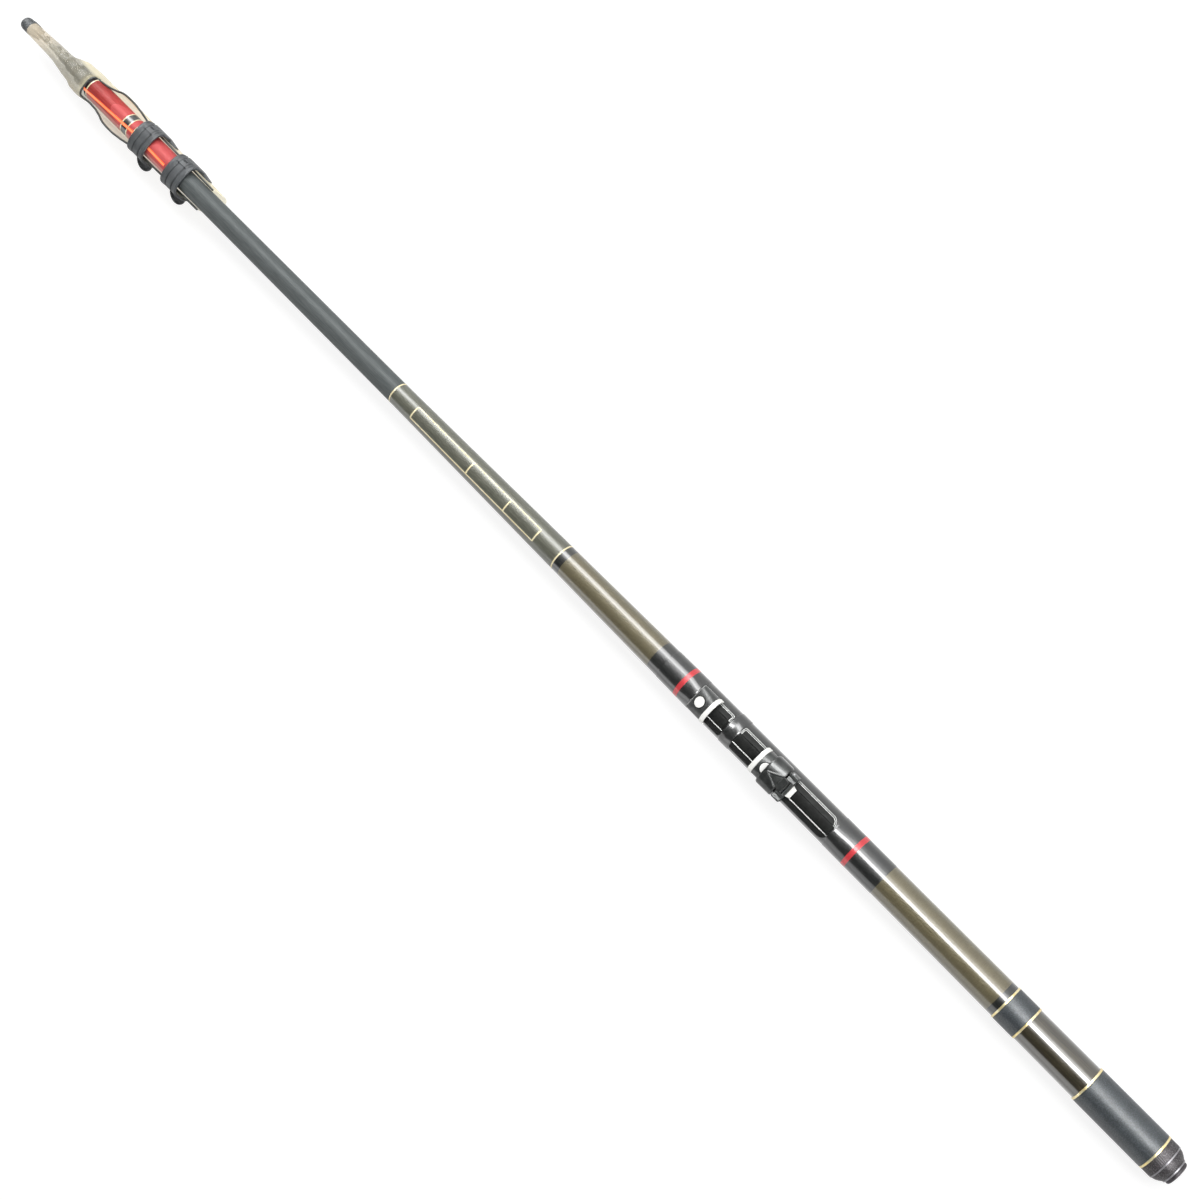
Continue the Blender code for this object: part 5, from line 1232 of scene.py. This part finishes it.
def strap_band(rear, front):
    count = len(strap_outer)
    lengths = [0.0]
    for a, b in zip(strap_outer, strap_outer[1:]):
        lengths.append(lengths[-1] + dist(a, b))
    off_pad = [abs(length - lengths[-1] + SLOT_AT) for length in lengths]
    width = front - rear
    loops, marks = [], []
    for share in shares(WIDTH_STEPS):
        off_middle = abs(share - 0.5)
        away = min(share, 1.0 - share) * width
        bend = 1.0 - min(1.0, away / STRAP_ROUND_REACH)
        tuck = STRAP_ROUND * (1.0 - sqrt(max(0.0, 1.0 - bend**2)))
        ditch = sum(
            GROOVE * max(0.0, 1.0 - (abs(share - at) * width / GROOVE_HALF) ** 2) for at in GROOVES_AT
        )
        sides = []
        for path, outer in ((strap_outer, True), (strap_inner, False)):
            side = []
            for i, (y, z) in enumerate(path):
                (y0, z0), (y1, z1) = path[max(0, i - 1)], path[min(count - 1, i + 1)]
                size = hypot(y1 - y0, z1 - z0)
                push = tuck
                if outer:
                    on_pad = smooth((PAD_HALF - off_pad[i]) / PAD_EASE)
                    on_pad *= smooth((PAD_SHARE - off_middle) * width / PAD_EASE)
                    in_slot = smooth((2.0 * SLOT_EASE - off_pad[i]) / SLOT_EASE)
                    in_slot *= smooth((SLOT_HALF - off_middle * width) / BEAD_EASE)
                    push = BEAD_RISE * smooth((BEAD_WIDTH - away) / BEAD_EASE) - tuck
                    push -= SLOT_DEPTH * in_slot
                    push += PAD_RISE * on_pad - ditch * (1.0 - on_pad)
                if y < 0.0:
                    sunk = smooth((STRAP_SPRING + 3.0 - z) / 5.5)
                    x = between(rear - ROOT_SPREAD * sunk, front, share)
                else:
                    slant = LEG_SLANT * smooth((STRAP_SPRING + 4.0 - z) / 9.0)
                    x = between(rear, front, share) - slant
                side.append((x, y + (z1 - z0) / size * push, z - (y1 - y0) / size * push))
            sides.append(side)
        loops.append(sides[0] + sides[1][::-1])
        # Faces in the grooves and the slot take the darker pad rubber: painted shade in these recesses.
        slotted = off_middle * width < SLOT_HALF
        if share < 1.0:
            marks += [int(ditch > 0.3 * GROOVE or slotted and off < 0.75) for off in off_pad[:-1]]
            marks += [0] * (count + 1)
    points, faces, _ = skin(loops)
    return points, faces, marks + [0, 0]


def add_strap(name, rear, front):
    add_piece(name + "_band", strap_band(rear, front), "strap_rubber pad_rubber", name,
              name, SOFT_EDGE)
    node = span[name + "_pull_tab"]
    radius = node.length / 2.0 + 0.4
    hang = Vector((0.0, sin(TAB_LEAN), -cos(TAB_LEAN)))
    face = Vector((0.0, cos(TAB_LEAN), sin(TAB_LEAN)))
    base = Vector((node.middle - LEG_SLANT, STRAP_INNER + 0.5, STRAP_LOW + 0.5))
    turns = [pi * (share - 0.5) for share in shares(TAB_STEPS)]
    outline = [(-1.0, -0.12)] + [(sin(a), cos(a)) for a in turns] + [(1.0, -0.12)]
    add_piece(name + "_tab", skin([
        [base + Vector((u * radius * scale, 0.0, 0.0)) + face * high
         + hang * (TAB_REACH * (0.35 + (v - 0.35) * scale)) for u, v in outline]
        for scale, high in TAB_ROWS
    ]), "pad_rubber", name, name + "_pull_tab", SOFT_EDGE)
    node = span[name + "_anchor"]
    wall = node.right + 0.25
    middle, half = (node.low + node.top) / 2.0, (node.top - node.low) / 2.0
    turns = [pi * (share - 0.5) for share in shares(ANCHOR_STEPS)]
    loops = []
    for share in shares(ANCHOR_STEPS):
        x = between(node.rear, node.front, share)
        swell = between(0.35, 1.0, smooth(share / 0.42)) * (wall - node.left)
        size = min(1.0, sqrt(min(1.0, min(share, 1.0 - share) / 0.09)) * 0.5 + 0.5)
        loops.append([
            (x, wall - swell * max(0.0, cos(a)) ** 0.6,
             middle + half * size * signed_power(sin(a), 0.6)) for a in turns
        ])
    add_piece(name + "_pad", skin(loops), "strap_rubber", "tip_cover",
              name + "_anchor", SOFT_EDGE)


add_strap("strap_rear", 952.0, 969.6)
add_strap("strap_front", 992.4, 1010.0)

# Inner sections: tubes with a thread binding each, and guides of a foot, a stem and a lined ring.
STEM_HALF, STEM_STEPS, STEM_DRAW_IN = 0.65, 6, 0.16
STEM_TOP_HALF, STEM_LOW_HALF = radians(52.0), radians(40.0)
# Share of the stem's width and share of its thickness.
STEM_COLUMNS = [(0.0, 0.45), (0.02, 0.85), (0.06, 1.0), *((i / 12, 1.0) for i in range(2, 11)),
                (0.94, 1.0), (0.98, 0.85), (1.0, 0.45)]
HOOP_STEPS = 16
BINDING_PITCH, BINDING_RISE = 0.35, 0.05


def radii(node, front_half, centre=0.0):
    """Smallest and largest distance from an axis along the rod, over one half of a solid."""
    held = span[node]
    found = [hypot(y, z - centre) for x, y, z in held.points if (x > held.middle) == front_half]
    return min(found), max(found)


def hoop(x, half, outer, inner, centre):
    """A ring of rounded section round an axis along the rod."""
    turns = [tau * (i + 0.5) / HOOP_STEPS for i in range(HOOP_STEPS)]
    return skin([
        ring_of(x + half * signed_power(cos(a), 0.7),
                between(inner, outer, 0.5 + 0.5 * signed_power(sin(a), 0.7)), centre=centre)
        for a in turns
    ], True)


def stem(x, foot, ring_centre, ring_radius):
    """The plate between a guide's foot and its ring, drawn in between them."""

    def column(side, across_share, thickness):
        top = between(-STEM_TOP_HALF, STEM_TOP_HALF, across_share)
        low = between(-STEM_LOW_HALF, STEM_LOW_HALF, across_share)
        return [
            (x + side * thickness * STEM_HALF,
             between(foot * sin(top), ring_radius * sin(low), share)
             * (1.0 - STEM_DRAW_IN * sin(pi * share)),
             between(-foot * cos(top), ring_centre + ring_radius * cos(low), share))
            for share in shares(STEM_STEPS)
        ]

    return sheet(*([column(side, *entry) for entry in STEM_COLUMNS] for side in (-1.0, 1.0)))


def fine_guide(name, node, ring_node, body):
    held, liner = span[node], span[ring_node]
    centre = (liner.low + liner.top) / 2.0
    holder = centre - held.low
    bore = min(radii(node, front_half)[0] for front_half in (False, True))
    foot = eased_band(held.rear, held.front, held.top, 0.2, held.top - 0.35)
    loops = [ring_of(x, r) for x, r, _ in foot]
    parts = [
        skin(loops + [ring_of(held.front, bore), ring_of(held.rear, bore)], True),
        stem(liner.middle, held.top - 0.3, centre, holder - 0.45),
        hoop(liner.middle, STEM_HALF * 1.2, holder, liner.right + 0.05, centre),
    ]
    add_piece(name, gather(parts), "guide_steel", body, node)
    lining = hoop(liner.middle, liner.length / 2.0, liner.right + 0.02,
                  radii(ring_node, True, centre)[0], centre)
    add_piece(name + "_liner", lining, "guide_ceramic", body, ring_node)


for body in ("section_4", "section_3", "section_2"):
    node = body + "_tube"
    held = span[node]
    (rear_inner, rear_outer), (front_inner, front_outer) = radii(node, False), radii(node, True)
    profile = [(held.rear, rear_outer, 0), (held.front - 0.2, front_outer, 0)]
    turned(body + "_carbon", profile + [(held.front, front_outer - 0.15, 0)], "section_carbon", body,
           node, [(held.front, front_inner), (held.rear, rear_inner)])
    node = body + "_binding"
    held = span[node]
    whipping = wound(held.rear, held.front, lambda x: held.top - BINDING_RISE, BINDING_PITCH,
                     lambda x: 0, BINDING_RISE)
    turned(body + "_whipping", whipping, "matt_thread", body, node,
           radii(node, True)[0])
    fine_guide(body + "_eye", body + "_guide", body + "_ring", body)
tip = span["tip_section"]
tip_radius = radii("tip_section", True)[1]
turned("tip_blank", [
    (tip.rear, 0.01, 0), (tip.rear, radii("tip_section", False)[1], 0), (tip.front - 0.1, tip_radius, 0),
    (tip.front, tip_radius - 0.1, 0), (tip.front, 0.01, 0),
], "section_carbon", "tip_section", "tip_section")
fine_guide("tip_eye", "tip_guide", "tip_guide_ring", "tip_section")
fine_guide("float_rear_eye", "float_guide_rear", "float_guide_rear_ring", "float_rear")
fine_guide("float_front_eye", "float_guide_front", "float_guide_front_ring", "float_front")

# Camera: where the photograph was taken from, looking along the rod's tip half. In metres.
IMAGE, FOCAL = 1200, 1792.0
CAMERA_REACH, CAMERA_STATION = 1.153, 0.1703
CAMERA_TILT, CAMERA_RAKE = radians(10.5), radians(-16.06)
ROD_OFFSET = 3.1
IMAGE_ALONG = Vector((0.7061, -0.7079)).normalized()
SENSOR, FAR = 36.0, 50.0


def squared(vector):
    """The part of a vector that is square to the camera's direction."""
    return (vector - forward * vector.dot(forward)).normalized()


eye = ROD @ Vector((
    CAMERA_STATION, -CAMERA_REACH * sin(CAMERA_TILT), CAMERA_REACH * cos(CAMERA_TILT)
))
aim = ROD @ Vector((CAMERA_STATION - CAMERA_REACH * tan(CAMERA_RAKE), 0.0, 0.0))
forward = (aim - eye).normalized()
image_rear = squared(-along)
image_side = forward.cross(image_rear)
if image_side.dot(across) > 0.0:
    image_side.negate()
forward = (forward - image_side * (ROD_OFFSET / FOCAL)).normalized()
image_rear, image_side = squared(image_rear), squared(image_side)
right = image_rear * IMAGE_ALONG.x - image_side * IMAGE_ALONG.y
top = image_rear * IMAGE_ALONG.y + image_side * IMAGE_ALONG.x
camera_data = bpy.data.cameras.new("camera")
camera_data.sensor_width = SENSOR
camera_data.lens = FOCAL / IMAGE * SENSOR
camera_data.clip_end = FAR
camera = bpy.data.objects.new("camera", camera_data)
bpy.context.collection.objects.link(camera)
camera.matrix_world = placing(right, top, -forward, eye)
bpy.context.scene.camera = camera

# Floor: matt paper that also glows where the camera or a polished part sees it.
FLOOR_HALF, FLOOR_GREY, FLOOR_GLOW = 6.0, 0.36, 0.77
corners = [(-FLOOR_HALF, -FLOOR_HALF, 0.0), (FLOOR_HALF, -FLOOR_HALF, 0.0),
           (FLOOR_HALF, FLOOR_HALF, 0.0), (-FLOOR_HALF, FLOOR_HALF, 0.0)]
mesh = bpy.data.meshes.new("floor")
mesh.from_pydata(corners, [], [(0, 1, 2, 3)])
material = bpy.data.materials.new("floor_paper")
material.use_nodes = True
paper = Nodes(material.node_tree)
rays = paper.make("LightPath").outputs
lit = paper.math("MAXIMUM", rays["Is Camera Ray"], rays["Is Glossy Ray"])
shader = paper.tree.nodes["Principled BSDF"]
for socket, value in (
    ("Base Color", (FLOOR_GREY, FLOOR_GREY, FLOOR_GREY, 1.0)), ("Roughness", 0.9),
    ("Specular IOR Level", 0.0), ("Emission Color", (1.0, 1.0, 1.0, 1.0)),
    ("Emission Strength", paper.math("MULTIPLY", lit, FLOOR_GLOW)),
):
    paper.feed(shader.inputs[socket], value)
mesh.materials.append(material)
floor = bpy.data.objects.new("floor", mesh)
bpy.context.collection.objects.link(floor)

# World: daylight; polished parts see a dark room with a window, by degrees from overhead to -Y.
DAYLIGHT, BACKDROP, BRIGHTEST = 0.5, 1.0, 20.0
ROOM_AT_BUTT = [
    (-180, 1.4), (-64, 1.7), (-57, 0.05), (3, 0.05), (4.5, 1.3), (6, 1.3), (8, 0.04), (12, 0.04),
    (14, 20.0), (27.5, 20.0), (36, 1.4), (180, 1.1),
]
ROOM_AT_TIP = [
    (-180, 1.4), (-70, 2.2), (-63, 0.04), (-42, 0.05), (-25, 0.27), (24, 0.3), (33, 0.5),
    (38, 10.0), (58, 10.0), (68, 1.1), (180, 1.0),
]
ROOMS_MEET = (0.10, 0.20)
world = bpy.data.worlds.new("studio")
bpy.context.scene.world = world
world.use_nodes = True
world.node_tree.nodes.clear()
sky = Nodes(world.node_tree)


def choose(switch, a, b):
    return sky.make("Mix", {0: switch, 2: a, 3: b}, data_type="FLOAT").outputs[0]


rays = sky.make("LightPath").outputs
axes = sky.make("SeparateXYZ", {0: sky.make("TexCoord").outputs["Generated"]}).outputs
turn = sky.math("ARCTAN2", sky.math("MULTIPLY", axes["Y"], -1.0), axes["Z"])
turn_share = sky.spread(turn, 0.0, 1.0, -pi, pi)
rooms = []
for room in (ROOM_AT_BUTT, ROOM_AT_TIP):
    stops = [((a + 180.0) / 360.0, (*[level / BRIGHTEST] * 3, 1.0)) for a, level in room]
    rooms.append(sky.math("MULTIPLY", sky.ramp(turn_share, stops), BRIGHTEST))
meet_from, meet_to = (copysign(at, along.x) for at in ROOMS_MEET)
forth = sky.spread(axes["X"], 0.0, 1.0, meet_from, meet_to, interpolation_type="SMOOTHSTEP")
reflected = choose(rays["Is Glossy Ray"], DAYLIGHT, choose(forth, *rooms))
level = choose(rays["Is Camera Ray"], reflected, BACKDROP)
shine = sky.make("Background", {"Color": (1.0, 1.0, 1.0, 1.0), "Strength": level})
sky.make("OutputWorld", {"Surface": shine.outputs[0]})

# Key light: a long softbox beside the rod, its angle taken from overhead towards -Y. In metres.
KEY_ANGLE, KEY_REACH, KEY_STATION = radians(36.0), 1.5, 0.9
KEY_WIDTH, KEY_LENGTH, KEY_LEVEL = 0.7, 3.4, 3.3
data = bpy.data.lights.new("key_box", "AREA")
data.shape = "RECTANGLE"
data.size, data.size_y = KEY_LENGTH, KEY_WIDTH
data.energy = KEY_LEVEL * pi * KEY_WIDTH * KEY_LENGTH
lamp = bpy.data.objects.new("key_box", data)
bpy.context.collection.objects.link(lamp)
facing = Vector((0.0, -sin(KEY_ANGLE), cos(KEY_ANGLE)))
z_axis = (ROD.to_3x3() @ facing).normalized()
key_place = ROD @ Vector((KEY_STATION, facing.y * KEY_REACH, facing.z * KEY_REACH))
lamp.matrix_world = placing(along, z_axis.cross(along), z_axis, key_place)
lamp.visible_camera = False

bpy.context.scene.view_settings.view_transform = "Standard"

# The solids that keep their shape get a finer material in their slots.
for name, look in (("butt_insert", "silver_metal"), ("cap_seal", "pad_rubber"),
                   ("cap_bumper", "pad_rubber")):
    for slot in frame["nodes"][name].material_slots:
        slot.material = bpy.data.materials[look]
